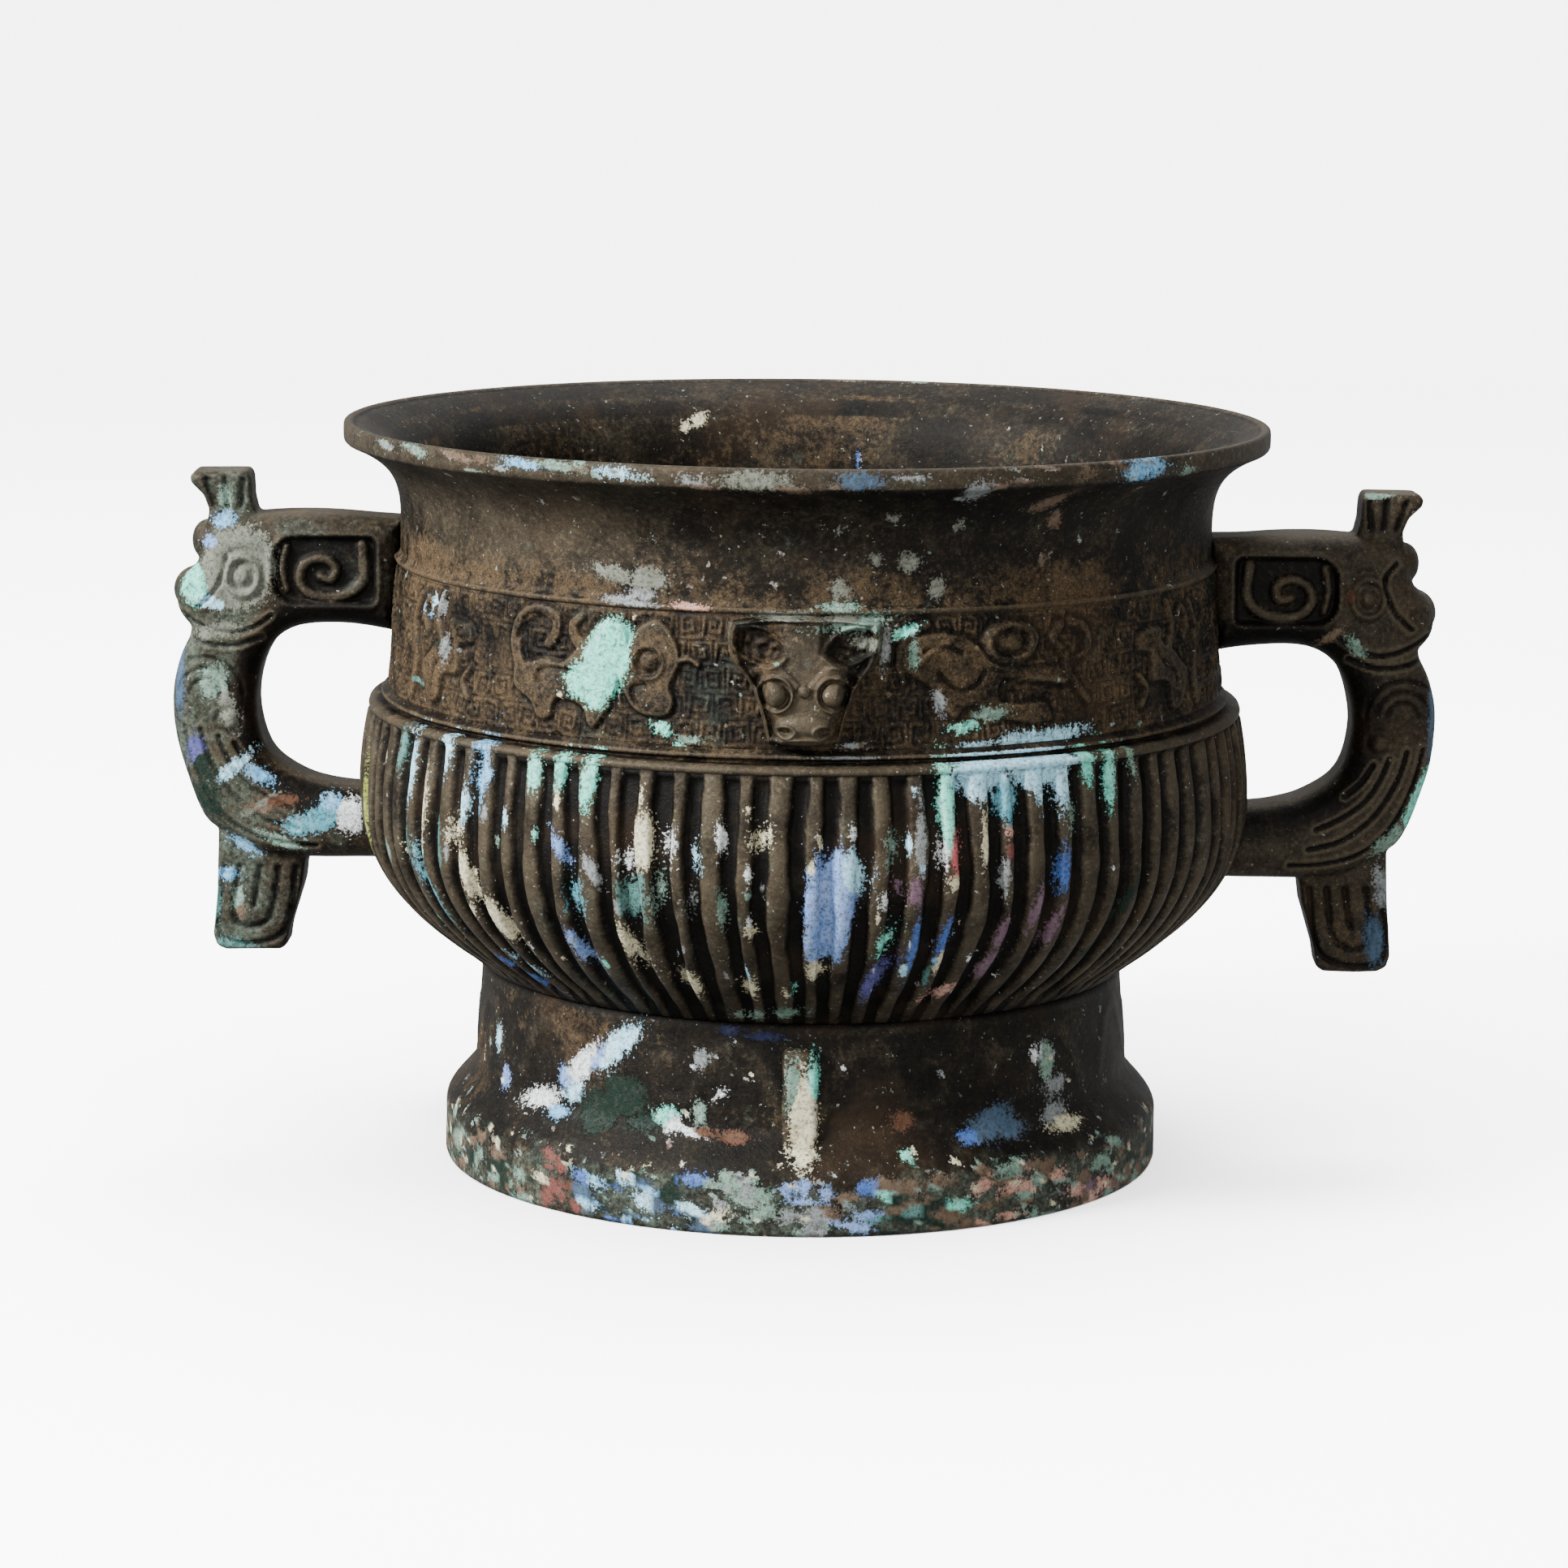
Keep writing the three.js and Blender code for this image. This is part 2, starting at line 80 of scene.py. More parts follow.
# The paints, before their colours are deepened.
PAINT = {
    "white": (0.82, 0.84, 0.84), "cream": (0.80, 0.77, 0.63), "mint": (0.38, 0.83, 0.75),
    "ice": (0.61, 0.82, 0.89), "sky": (0.38, 0.67, 0.82), "blue": (0.20, 0.43, 0.70),
    "navy": (0.12, 0.17, 0.33), "iris": (0.45, 0.59, 0.79), "violet": (0.36, 0.37, 0.62),
    "teal": (0.30, 0.52, 0.50), "turquoise": (0.25, 0.62, 0.68), "green": (0.09, 0.22, 0.18),
    "sage": (0.46, 0.58, 0.52), "grey": (0.52, 0.54, 0.54), "pink": (0.72, 0.38, 0.38),
    "salmon": (0.73, 0.56, 0.49), "mauve": (0.48, 0.37, 0.44), "rust": (0.42, 0.28, 0.17),
    "brick": (0.50, 0.30, 0.26), "tan": (0.46, 0.38, 0.30), "steel": (0.28, 0.39, 0.48),
    "ash": (0.47, 0.48, 0.43), "lime": (0.60, 0.64, 0.14),
}


class VesselSettings(PropertyGroup):
    rib_count: IntProperty(name="Ribs", description="Ribs round the belly", default=90, min=40, max=140)
    rib_depth: FloatProperty(
        name="Rib depth", description="Depth of the grooves between the ribs",
        default=2.1 * MM, unit="LENGTH", subtype="DISTANCE")
    relief_height: FloatProperty(
        name="Relief", description="How far the dragons stand out of the band",
        default=1.1 * MM, unit="LENGTH", subtype="DISTANCE")
    ground_height: FloatProperty(
        name="Ground pattern", description="Height of the square spirals behind the dragons",
        default=0.55 * MM, unit="LENGTH", subtype="DISTANCE")
    handle_voxel: FloatProperty(
        name="Handle detail", description="Size of the cells that the handles are made from",
        default=0.5 * MM, unit="LENGTH", subtype="DISTANCE")
    bronze: FloatVectorProperty(
        name="Bronze", description="Dark bronze between the worn places",
        default=(0.0088, 0.0068, 0.0043), subtype="COLOR", size=3, min=0, max=1)
    worn: FloatVectorProperty(
        name="Worn bronze", description="Bronze on ridges and edges",
        default=(0.051, 0.0405, 0.0260), subtype="COLOR", size=3, min=0, max=1)
    earth: FloatVectorProperty(
        name="Earth", description="Earth left in the hollows",
        default=(0.060, 0.0385, 0.0185), subtype="COLOR", size=3, min=0, max=1)
    verdigris: FloatVectorProperty(
        name="Verdigris", description="Grey green corrosion",
        default=(0.047, 0.060, 0.046), subtype="COLOR", size=3, min=0, max=1)
    paint_cover: FloatProperty(
        name="Paint", description="How far the daubs of paint reach",
        default=0.6, min=0, max=1, subtype="FACTOR")


def settings():
    return bpy.context.scene.gui_vessel


# Numbers and curves.

def smoothstep(low, high, value):
    t = np.clip((value - low) / (high - low), 0, 1)
    return t * t * (3 - 2 * t)


def fade(low, high, value):
    """Falls smoothly from 1 to 0."""
    return 1 - smoothstep(low, high, value)


def bump(value, centre, width):
    """A smooth bump, 1 at its centre."""
    return np.exp(-((value - centre) / width) ** 2)


def spline(points, count=8):
    """A smooth line through the points, with `count` steps between two of them."""
    p = np.array([points[0], *points, points[-1]], dtype=float)
    t = np.linspace(0, 1, count, endpoint=False)[:, None]
    parts = []
    for a, b, c, d in zip(p[:-3], p[1:-2], p[2:-1], p[3:]):
        bend = (2 * a - 5 * b + 4 * c - d) * t ** 2 + (3 * b - a - 3 * c + d) * t ** 3
        parts.append(0.5 * (2 * b + (c - a) * t + bend))
    return np.vstack([*parts, p[-1:]])


def line_distance(x, y, line):
    """The distance of each point to a line, and how far along the line, from 0 to 1, it is nearest."""
    best = np.full(x.shape, 1e9)
    share = np.zeros(x.shape)
    for i, ((ax, ay), (bx, by)) in enumerate(zip(line[:-1], line[1:])):
        dx, dy = bx - ax, by - ay
        t = np.clip(((x - ax) * dx + (y - ay) * dy) / max(dx * dx + dy * dy, 1e-9), 0, 1)
        d = np.hypot(x - ax - t * dx, y - ay - t * dy)
        nearer = d < best
        best = np.where(nearer, d, best)
        share = np.where(nearer, (i + t) / (len(line) - 1), share)
    return best, share


def stroke(x, y, points, width, end_width):
    """The distance to the edge of a brush-like stroke, negative inside it."""
    distance, share = line_distance(x, y, spline(points))
    return distance - (width + (end_width - width) * share) / 2


def waves(points, seed, length, count=10):
    """Gentle unevenness between about -1 and 1, with bumps of a given length in millimetres."""
    rng = np.random.default_rng(seed)
    total = np.zeros(len(points))
    for _ in range(count):
        way = rng.normal(size=3)
        way *= 2 * math.pi / (length * rng.uniform(0.7, 1.6) * np.linalg.norm(way))
        total += np.sin(points @ way + rng.uniform(0, 2 * math.pi))
    return total / math.sqrt(2 * count)


# The vessel's profile.

def crest_radius(z):
    """The crests of the ribs."""
    below = np.clip((BELLY_WIDE - z) / (BELLY_WIDE - FOOT_TOP), 0, 1)
    above = np.clip((z - BELLY_WIDE) / (FLUTE_TOP - BELLY_WIDE), 0, 1)
    return BELLY_RADIUS - BELLY_DRAWN_IN * below ** BELLY_FULLNESS - SHOULDER * above ** 2


def band_radius(z):
    return BAND_RADIUS - BAND_LEAN * (z - BAND_FOOT) / (BAND_TOP - BAND_FOOT)


def neck_radius(z):
    """The outside of the neck, up to the lip."""
    share = np.clip((z - BAND_TOP) / (NECK_TOP - BAND_TOP), 0, 1)
    return NECK_RADIUS + (LIP_RADIUS - NECK_RADIUS) * share ** NECK_FLARE


def throat_radius(z):
    """The inside of the neck."""
    return THROAT_RADIUS + THROAT_SPREAD * np.clip((z - BAND_TOP) / (HEIGHT - BAND_TOP), 0, 1) ** NECK_FLARE


def oval(share):
    """Falls from 1 to 0 as the bowl's floor curves up into its side."""
    return (1 - np.clip(share, 0, 1) ** BOWL_ROUNDNESS) ** (1 / BOWL_ROUNDNESS)


def bowl_height(r):
    return BELLY_WIDE - BOWL_DEPTH * oval(r / BOWL_RADIUS)


def bowl_radius(z):
    """The inside of the vessel, from the middle of its floor to the neck."""
    above = THROAT_RADIUS + (BOWL_RADIUS - THROAT_RADIUS) * smoothstep(BAND_TOP, BELLY_WIDE, z)
    return np.where(z < BELLY_WIDE, BOWL_RADIUS * oval((BELLY_WIDE - z) / BOWL_DEPTH), above)


def behind_ribs(z, share):
    """A surface within the wall, from the bowl (share 0) to the bottoms of the grooves (share 1)."""
    inside = bowl_radius(z)
    return inside + share * (crest_radius(z) - 3.0 - inside)


# Making meshes.

def deselect_all():
    for o in bpy.context.selected_objects:
        o.select_set(False)


def activate(obj):
    deselect_all()
    obj.select_set(True)
    bpy.context.view_layer.objects.active = obj


def in_edit_mode(obj, *steps):
    activate(obj)
    bpy.ops.object.mode_set(mode="EDIT")
    bpy.ops.mesh.select_all(action="SELECT")
    for step in steps:
        step()
    bpy.ops.object.mode_set(mode="OBJECT")


def close_and_face_out():
    bpy.ops.mesh.select_all(action="SELECT")
    bpy.ops.mesh.remove_doubles(threshold=0.01 * MM)
    bpy.ops.mesh.normals_make_consistent(inside=False)


def points_of(obj):
    flat = np.empty(len(obj.data.vertices) * 3, dtype=np.float32)
    obj.data.vertices.foreach_get("co", flat)
    return flat.reshape(-1, 3).astype(float) / MM


def normals_of(obj):
    flat = np.empty(len(obj.data.vertices) * 3, dtype=np.float32)
    obj.data.vertices.foreach_get("normal", flat)
    return flat.reshape(-1, 3).astype(float)


def set_points(obj, points):
    obj.data.vertices.foreach_set("co", (points * MM).astype(np.float32).ravel())
    obj.data.update()


def store(obj, name, values):
    colour = values.ndim == 2
    kind, field = ("FLOAT_COLOR", "color") if colour else ("FLOAT", "value")
    attribute = obj.data.attributes.new(name, kind, "POINT")
    attribute.data.foreach_set(field, values.astype(np.float32).ravel())


def resampled(points, spacing):
    """The same line with a point at least every `spacing` millimetres."""
    rows = [points[0]]
    for a, b in zip(points[:-1], points[1:]):
        count = max(1, math.ceil(math.dist(a, b) / spacing))
        rows += [tuple(np.array(a) + (np.array(b) - np.array(a)) * (k + 1) / count) for k in range(count)]
    return rows


def rounded(points, times=2):
    """Corners cut off, so that a ring or a lip is round."""
    for _ in range(times):
        cut = [points[0]]
        for a, b in zip(points[:-1], points[1:]):
            a, b = np.array(a), np.array(b)
            cut += [tuple(a * 0.75 + b * 0.25), tuple(a * 0.25 + b * 0.75)]
        points = [*cut, points[-1]]
    return points


def spun(name, outline, columns, start=0.0, turn=2 * math.pi):
    """A closed outline of (radius, height) spun about the upright axis."""
    deselect_all()
    bpy.ops.mesh.primitive_circle_add(vertices=len(outline), radius=0.1)
    obj = bpy.context.object
    obj.name = obj.data.name = name
    for vertex, (r, z) in zip(obj.data.vertices, outline):
        vertex.co = Vector((r * math.cos(start), r * math.sin(start), z)) * MM
    spin = obj.modifiers.new("Spin", "SCREW")
    spin.axis = "Z"
    spin.angle = turn
    spin.steps = spin.render_steps = columns
    activate(obj)
    bpy.ops.object.modifier_apply(modifier=spin.name)
    if turn < 2 * math.pi:
        in_edit_mode(
            obj,
            lambda: bpy.ops.mesh.select_all(action="DESELECT"),
            lambda: bpy.ops.mesh.select_non_manifold(),
            lambda: bpy.ops.mesh.fill_holes(sides=0),
        )
    in_edit_mode(obj, close_and_face_out)
    return obj


def round_place(points):
    """Radius, angle from the front (to the right is positive) and height of each point."""
    return np.hypot(points[:, 0], points[:, 1]), np.arctan2(points[:, 0], -points[:, 1]), points[:, 2]


def from_round(r, angle, z):
    return np.column_stack([r * np.sin(angle), -r * np.cos(angle), z])


def turn_between(a, b):
    return (a - b + math.pi) % (2 * math.pi) - math.pi


# Daubs of paint: degrees from the front (right is positive), height, half width and half height in
# millimetres, tilt in degrees clockwise, colour.
LIP_AND_NECK_DAUBS = [
    (-53, 160, 4, 1.0, 10, "sage"), (-45, 160, 4, 0.9, 10, "tan"), (-35, 160, 4, 1.0, 5, "sky"),
    (-29, 160, 6, 0.9, 3, "sage"), (-22, 159.5, 4, 1.2, 4, "ice"), (-13, 159, 3, 0.9, 0, "grey"),
    (-6, 159, 6, 1.9, 0, "ash"), (6, 159, 4.4, 1.7, 0, "steel"), (12, 159.5, 3, 0.8, 0, "grey"),
    (34, 159, 3, 0.9, -6, "tan"), (43, 159.3, 5, 2.2, -4, "sky"), (51, 158, 2.6, 0.8, -10, "sage"),
    (-26, 137.5, 5, 1.6, 12, "ash"), (-21, 137, 4, 2.6, 0, "ash"), (-22, 134, 3, 1.2, 0, "grey"),
    (4.5, 148, 1, 1, 0, "ash"), (11, 150.5, 1.2, 1, 10, "ash"), (20, 149, 1, 1.4, 20, "ash"),
    (13.5, 141.5, 2.2, 2, 10, "ash"), (9, 142, 1.4, 1.5, 0, "ash"), (4.5, 136, 1.8, 2, 0, "ash"),
    (17.5, 136, 1.5, 2.4, 0, "ash"), (31.5, 153, 4, 1.5, -20, "tan"), (34, 149, 1.6, 2, 0, "tan"),
    (20, 156.5, 2.2, 2.2, -20, "grey"), (33, 141, 1, 1.8, 25, "tan"),
]
BAND_DAUBS = [
    (-26.4, 120.4, 5.4, 8.6, 12, "mint"), (-29, 116.6, 5.4, 4, -30, "mint"),
    (-25.4, 125.6, 4, 3.8, 0, "mint"), (-28, 112.6, 3.4, 2.6, 20, "mint"),
    (-63, 126, 1, 2.2, 8, "sky"), (-60, 127.5, 1, 1.8, -8, "ice"), (-61.5, 124, 1.4, 0.8, 0, "sky"),
    (-58, 119, 1.6, 1.2, 0, "green"), (-57.5, 127, 1.3, 3.4, 15, "grey"), (-56, 118, 2.2, 3.6, 10, "grey"),
    (-18.5, 107.5, 2.4, 1.6, 20, "mint"), (-14.5, 105.5, 4, 0.9, 0, "sage"), (-16, 104, 1.6, 0.8, 0, "mint"),
    (-15, 132, 4, 0.8, 4, "salmon"), (-24, 132.4, 6, 0.8, 4, "grey"), (4.5, 132.5, 4, 1.1, 0, "sage"),
    (7, 129.6, 8, 1.8, -4, "sage"), (5, 130.4, 6, 1.2, 0, "ash"), (10.4, 125, 1.2, 5, 6, "grey"),
    (13, 127.6, 3.4, 1.3, -20, "mint"),
    (-3, 131, 7, 0.8, 0, "ash"), (7.6, 126, 3.6, 1.6, 10, "ash"), (14, 123, 1.3, 3.2, 0, "sage"),
    (21, 108, 4, 1.5, -6, "mint"), (24.5, 110.5, 4.4, 1.6, 0, "sage"), (17.5, 113, 1.4, 3.4, -14, "grey"),
    (29, 103.4, 7, 3.4, -6, "ice"), (34.5, 105, 9, 1.8, -4, "ice"), (21.5, 103.0, 6, 1.8, -8, "ice"),
    (5, 102.8, 6, 1.1, 0, "grey"), (6, 105, 3, 0.8, 0, "grey"), (-64, 109.5, 3.4, 0.7, 10, "teal"),
]
BELLY_DAUBS = [
    (-62, 96, 1.2, 4, 4, "teal"), (-59, 93, 1.6, 6, 4, "ice"), (-51, 97, 1.5, 4, 12, "ice"),
    (-44, 95.5, 2.2, 6, 5, "sky"), (-47, 87, 1.8, 4, 14, "ice"), (-55, 86, 1.3, 6, 2, "cream"),
    (-48, 82, 1.8, 4, 6, "cream"), (-60, 77, 1.6, 6, -4, "teal"), (-56, 69, 1.8, 7, -16, "turquoise"),
    (-52, 80, 1.4, 5, 0, "teal"), (-46, 72, 1.7, 6, -12, "cream"), (-42, 63, 2.0, 5, -22, "cream"),
    (-35, 97, 1.5, 3, 8, "mint"), (-31, 98, 1.3, 3.4, 8, "mint"), (-27, 97, 1.5, 4.4, 6, "mint"),
    (-30.5, 82, 1.0, 5, -30, "iris"), (-29, 72, 1.7, 4.4, 0, "turquoise"), (-26, 78, 0.9, 4, -26, "grey"),
    (-30, 60, 1.6, 4, -22, "iris"), (-47, 49.5, 5, 1.2, 30, "blue"), (-44, 53, 3, 1, 34, "ice"),
    (-19.5, 85, 2.2, 5, 8, "cream"), (-21.5, 81, 1.6, 3.4, 0, "white"), (-16.5, 84.5, 1.4, 3, 0, "white"),
    (-21, 73.5, 2.4, 5, 6, "teal"), (-17.5, 75, 1.3, 5.6, 6, "sage"), (-22, 61.5, 1.8, 5, -18, "cream"),
    (-13, 82, 1, 4, 0, "ice"), (-13.5, 74, 1, 4, 4, "grey"), (-9.5, 86.5, 1, 2.8, 0, "white"),
    (-5, 87, 1.7, 3, 8, "cream"), (-6, 67.5, 1.3, 1.4, 0, "cream"), (-16, 54.5, 2, 3.4, -25, "cream"),
    (-7.5, 53.5, 1.8, 2.2, 0, "cream"), (-9.5, 72, 0.8, 4, 0, "sage"),
    (3.6, 75, 4.4, 8.4, 6, "iris"), (5.6, 79, 3, 5, 0, "ice"), (3, 67, 3.2, 6, 10, "iris"),
    (2.2, 58.5, 1.7, 2.6, 0, "cream"), (1.2, 80.5, 0.8, 2, 0, "cream"), (6, 88, 0.8, 1.3, 0, "white"),
    (11, 85, 1.3, 4, 0, "sage"), (11.6, 77, 1.3, 3, -20, "mauve"), (10, 74, 1.1, 1.6, 0, "white"),
    (10.8, 65.5, 1.4, 4.4, 14, "mint"), (10.4, 57, 2, 5.4, 18, "violet"), (14.2, 86, 0.9, 8, 0, "grey"),
    (13.8, 76, 1, 3, 0, "mauve"), (14.3, 64, 1, 6, 4, "blue"), (17.4, 93, 1.8, 8, 0, "mint"),
    (16.8, 84, 1, 5, 0, "white"), (18.9, 84, 1.3, 4.6, 0, "pink"), (18.6, 77.6, 1.2, 1.4, 0, "cream"),
    (18.4, 66, 1.4, 3.8, 12, "blue"), (18.2, 60, 0.7, 2.6, 0, "cream"),
    (20.5, 51.4, 3.4, 1.4, -28, "salmon"), (22.5, 86, 0.7, 5, 0, "cream"),
    (26, 87, 1.5, 1.4, 0, "salmon"), (26, 83.6, 1.1, 1.6, 0, "brick"),
    (25, 77.6, 0.9, 3.6, 0, "grey"), (26.2, 66, 1.6, 3.6, 10, "mauve"), (26, 58.5, 2, 3.4, 28, "mauve"),
    (30, 72, 1, 5, 10, "mauve"), (33, 65.5, 1.4, 4, 8, "mauve"), (33, 78, 1.6, 3.8, 4, "blue"),
    (22, 98, 5, 3.4, -4, "ice"), (25.5, 94, 2.6, 4, 10, "turquoise"), (30, 99.5, 6, 4, 0, "ice"),
    (30.5, 97, 1.5, 4, 0, "ice"), (33.5, 97.5, 2.2, 5.4, 6, "ice"), (35, 91, 1.2, 5, 0, "sage"),
    (37.5, 99, 1.2, 3.4, 0, "mint"), (41, 96, 1.2, 5.6, 4, "mint"), (45, 99, 0.8, 3, -10, "sage"),
    (44, 66, 1.1, 9, 20, "green"), (-77, 80, 1.2, 8, 4, "lime"), (-79, 86, 1.0, 4, 0, "lime"),
]
FOOT_DAUBS = [
    (-40, 30.5, 7, 3.0, -34, "white"), (-33, 35.6, 8, 2.8, -34, "ice"), (-37, 32.5, 9, 2.0, -34, "iris"),
    (-44, 27, 2.6, 2.6, 0, "iris"), (-42, 24.5, 4, 2, -30, "ice"), (-50, 21.5, 7, 2.2, -10, "white"),
    (-45, 19.6, 4, 1.3, 0, "sky"), (-62, 22.5, 2.4, 2.4, 0, "iris"), (-66, 30, 2.2, 3, 0, "ice"),
    (-36, 21.5, 6, 4.6, 0, "green"), (-31, 25.5, 6.4, 4.6, 0, "green"), (-27, 20.5, 5, 2, 0, "green"),
    (-23, 22.5, 3.4, 2, -15, "mint"), (-22, 21, 2.4, 1.8, 0, "white"), (-19, 20, 3.8, 0.8, 12, "white"),
    (-17, 35, 2, 2.4, 20, "grey"), (-17, 24, 1.6, 2.6, 0, "sage"), (-13.5, 28, 2.4, 1, -30, "white"),
    (-11, 19.5, 4.6, 1.3, 0, "rust"), (-16, 20, 2.8, 1, 0, "rust"),
    (0.5, 24, 3.4, 11, 0, "cream"), (-1, 31, 2, 6, 0, "sage"), (2, 32, 1.6, 5, 0, "mint"),
    (0, 17.5, 3, 2, 0, "cream"),
    (1.4, 27, 0.9, 2.4, 0, "navy"), (-0.6, 21.5, 0.8, 1.6, 0, "navy"),
    (-2, 46.5, 5.6, 1.8, -4, "sage"), (-8, 45.6, 5, 1.6, 0, "sage"), (-12, 41.5, 3, 1.2, 0, "navy"),
    (-6, 40.5, 5, 1, 0, "navy"),
    (33.5, 20.5, 7, 3.2, -14, "steel"), (37, 19, 5, 2, 0, "steel"), (29, 18.5, 3.6, 1.4, 0, "blue"),
    (48, 20, 5.6, 1.8, -10, "grey"), (47, 31, 3, 4.4, -10, "sage"), (49, 25.5, 4, 2.2, 0, "grey"),
    (44, 33, 1.6, 2, 0, "white"), (49, 17.6, 6, 1.6, 0, "cream"), (17, 22.5, 2.8, 2, 0, "rust"),
    (17, 16, 1.5, 1.1, 0, "mint"),
]
# The grooves between the ribs take a share of a daub, so those on the belly are larger.
BELLY_SPREAD = 1.35
DAUBS = [
    *LIP_AND_NECK_DAUBS, *BAND_DAUBS, *FOOT_DAUBS,
    *[(place, height, across * BELLY_SPREAD, up * BELLY_SPREAD, tilt, name)
      for place, height, across, up, tilt, name in BELLY_DAUBS],
]
INSIDE_DAUBS = [
    (-163, 153, 2.2, 1.3, 30, "cream"), (-160.5, 151.4, 1.4, 1.0, 60, "cream"),
    (172, 143, 0.8, 3.2, 0, "blue"),
]

# The foot's edge is daubed all round: from one angle to the next in these colours.
EDGE_STRETCHES = [
    (-90, -56, "tan sage green tan cream"), (-56, -44, "green tan green sage cream"),
    (-44, -36, "brick brick rust"), (-36, -14, "blue sky blue ice green steel"),
    (-14, -2, "cream sage grey sage"), (-2, 8, "grey iris grey tan"), (8, 11, "blue iris"),
    (11, 26, "green teal tan green tan mint"), (26, 40, "salmon tan tan salmon sage"),
    (40, 58, "mauve tan salmon sage tan"), (58, 90, "tan sage tan green"),
]
SMEARS_PER_DEGREE = 1.5

# The same on the handles: place out from the axis, height, half sizes, tilt, colour.
LEFT_HANDLE_DAUBS = [
    (98.5, 74, 3, 4, 0, "white"), (105, 73, 4, 2.6, 10, "turquoise"),
    (109, 71.5, 4.4, 2.4, 0, "turquoise"), (102.5, 76.5, 2.4, 2, 0, "sky"),
    (114.5, 77, 5, 1.4, 6, "rust"), (118.5, 75.5, 3.4, 1.3, 0, "tan"), (129.5, 77, 2.6, 4.6, 30, "green"),
    (132, 88, 2, 3.2, 0, "violet"), (118.5, 82.5, 4, 1.6, -35, "sky"), (131.7, 124, 3.2, 4.4, 0, "mint"),
    (128.6, 120.5, 4.2, 1.4, -10, "ice"), (128, 133, 3, 1.8, -20, "iris"), (125.5, 138, 3, 2, 0, "sky"),
    (125.5, 142.5, 1.6, 3, 0, "sage"), (122.5, 128, 8.4, 9.4, -20, "ash"), (127, 114, 6, 1.6, 10, "ash"),
    (128, 103, 3, 4, 0, "sage"), (125, 97, 2, 5, 20, "ash"), (122, 66.5, 3.6, 1.4, -30, "sky"),
    (114, 68, 5, 1.3, -20, "sage"), (126, 60, 3, 1.6, 0, "sky"), (128.5, 53, 1.2, 6, -4, "teal"),
    (123.5, 54.5, 1.6, 3, 0, "sage"), (123, 52, 1.3, 2, 0, "tan"), (124.5, 44, 6, 1.6, -12, "teal"),
    (135.5, 104, 1.2, 9, 0, "steel"), (130, 84, 2, 6, 30, "green"), (124, 84, 1.4, 6, -50, "ice"),
    (118, 76, 1.2, 5, -60, "ash"),
]
RIGHT_HANDLE_DAUBS = [
    (128, 73, 1.8, 5, 45, "sage"), (134, 83, 1.4, 9, 22, "mint"), (117.7, 126.5, 1, 1.6, 0, "rust"),
    (136.6, 99, 1.2, 14, 0, "steel"), (125.4, 50, 2.4, 6.6, -8, "steel"), (126.6, 62, 1.8, 5, -8, "grey"),
    (113.6, 117.7, 3.6, 0.9, -35, "tan"), (119, 115.6, 1.4, 3, -35, "sage"),
    (122, 148, 5, 0.9, 0, "sage"),
]

# How deep and how dull the paint's colours are, and how firm the edges of small and large daubs.
PAINT_DEPTH, PAINT_DULLNESS = 2.9, 0.22
EDGE_WIDTH, SOFTEST, FIRMEST = 2.2, 1.0, 2.6
# The daubs are laid out flat at one radius and were measured at another.
DAUB_RADIUS, MEASURED_RADIUS = 90, 84


def paint_reach(x, y, spots):
    """How far inside a spot each point is (0 at its edge), and the colour of that spot."""
    reach = np.full(x.shape, -1.0)
    colour = np.full((len(x), 3), 0.5)
    for sx, sy, half_x, half_y, tilt, name in spots:
        size = max(half_x, half_y) * 2
        near = np.flatnonzero((np.abs(x - sx) < size) & (np.abs(y - sy) < size))
        if not len(near):
            continue
        c, s = math.cos(math.radians(tilt)), -math.sin(math.radians(tilt))
        dx, dy = x[near] - sx, y[near] - sy
        firm = min(max(min(half_x, half_y) / EDGE_WIDTH, SOFTEST), FIRMEST)
        inward = firm * (1 - np.hypot((dx * c + dy * s) / half_x, (dy * c - dx * s) / half_y))
        better = inward > reach[near]
        reach[near[better]] = inward[better]
        shade = np.array(PAINT[name]) ** PAINT_DEPTH
        colour[near[better]] = shade + (shade.mean() - shade) * PAINT_DULLNESS
    return reach, colour


def strewn(seed, count, angles, heights, half_x, half_y, names, tilt=8):
    """Daubs strewn by chance over a stretch of the vessel."""
    rng = np.random.default_rng(seed)
    spots = []
    for _ in range(count):
        spots.append((
            rng.uniform(*angles), rng.uniform(*heights), rng.uniform(*half_x), rng.uniform(*half_y),
            rng.normal() * tilt, names[rng.integers(len(names))],
        ))
    return spots


def edge_daubs():
    """The broad smears and small specks round the edge of the foot."""
    spots = []
    for number, (first, last, names) in enumerate(EDGE_STRETCHES):
        names = names.split()
        count = round((last - first) * SMEARS_PER_DEGREE)
        stretch, specks = (first, last), ["cream", "sage", "green"]
        spots += strewn(200 + number, count, stretch, (0, 12), (0.8, 4.0), (0.5, 1.9), names, 14)
        spots += strewn(300 + number, count, stretch, (0, 15), (0.3, 1.2), (0.3, 0.8), specks, 40)
    return spots


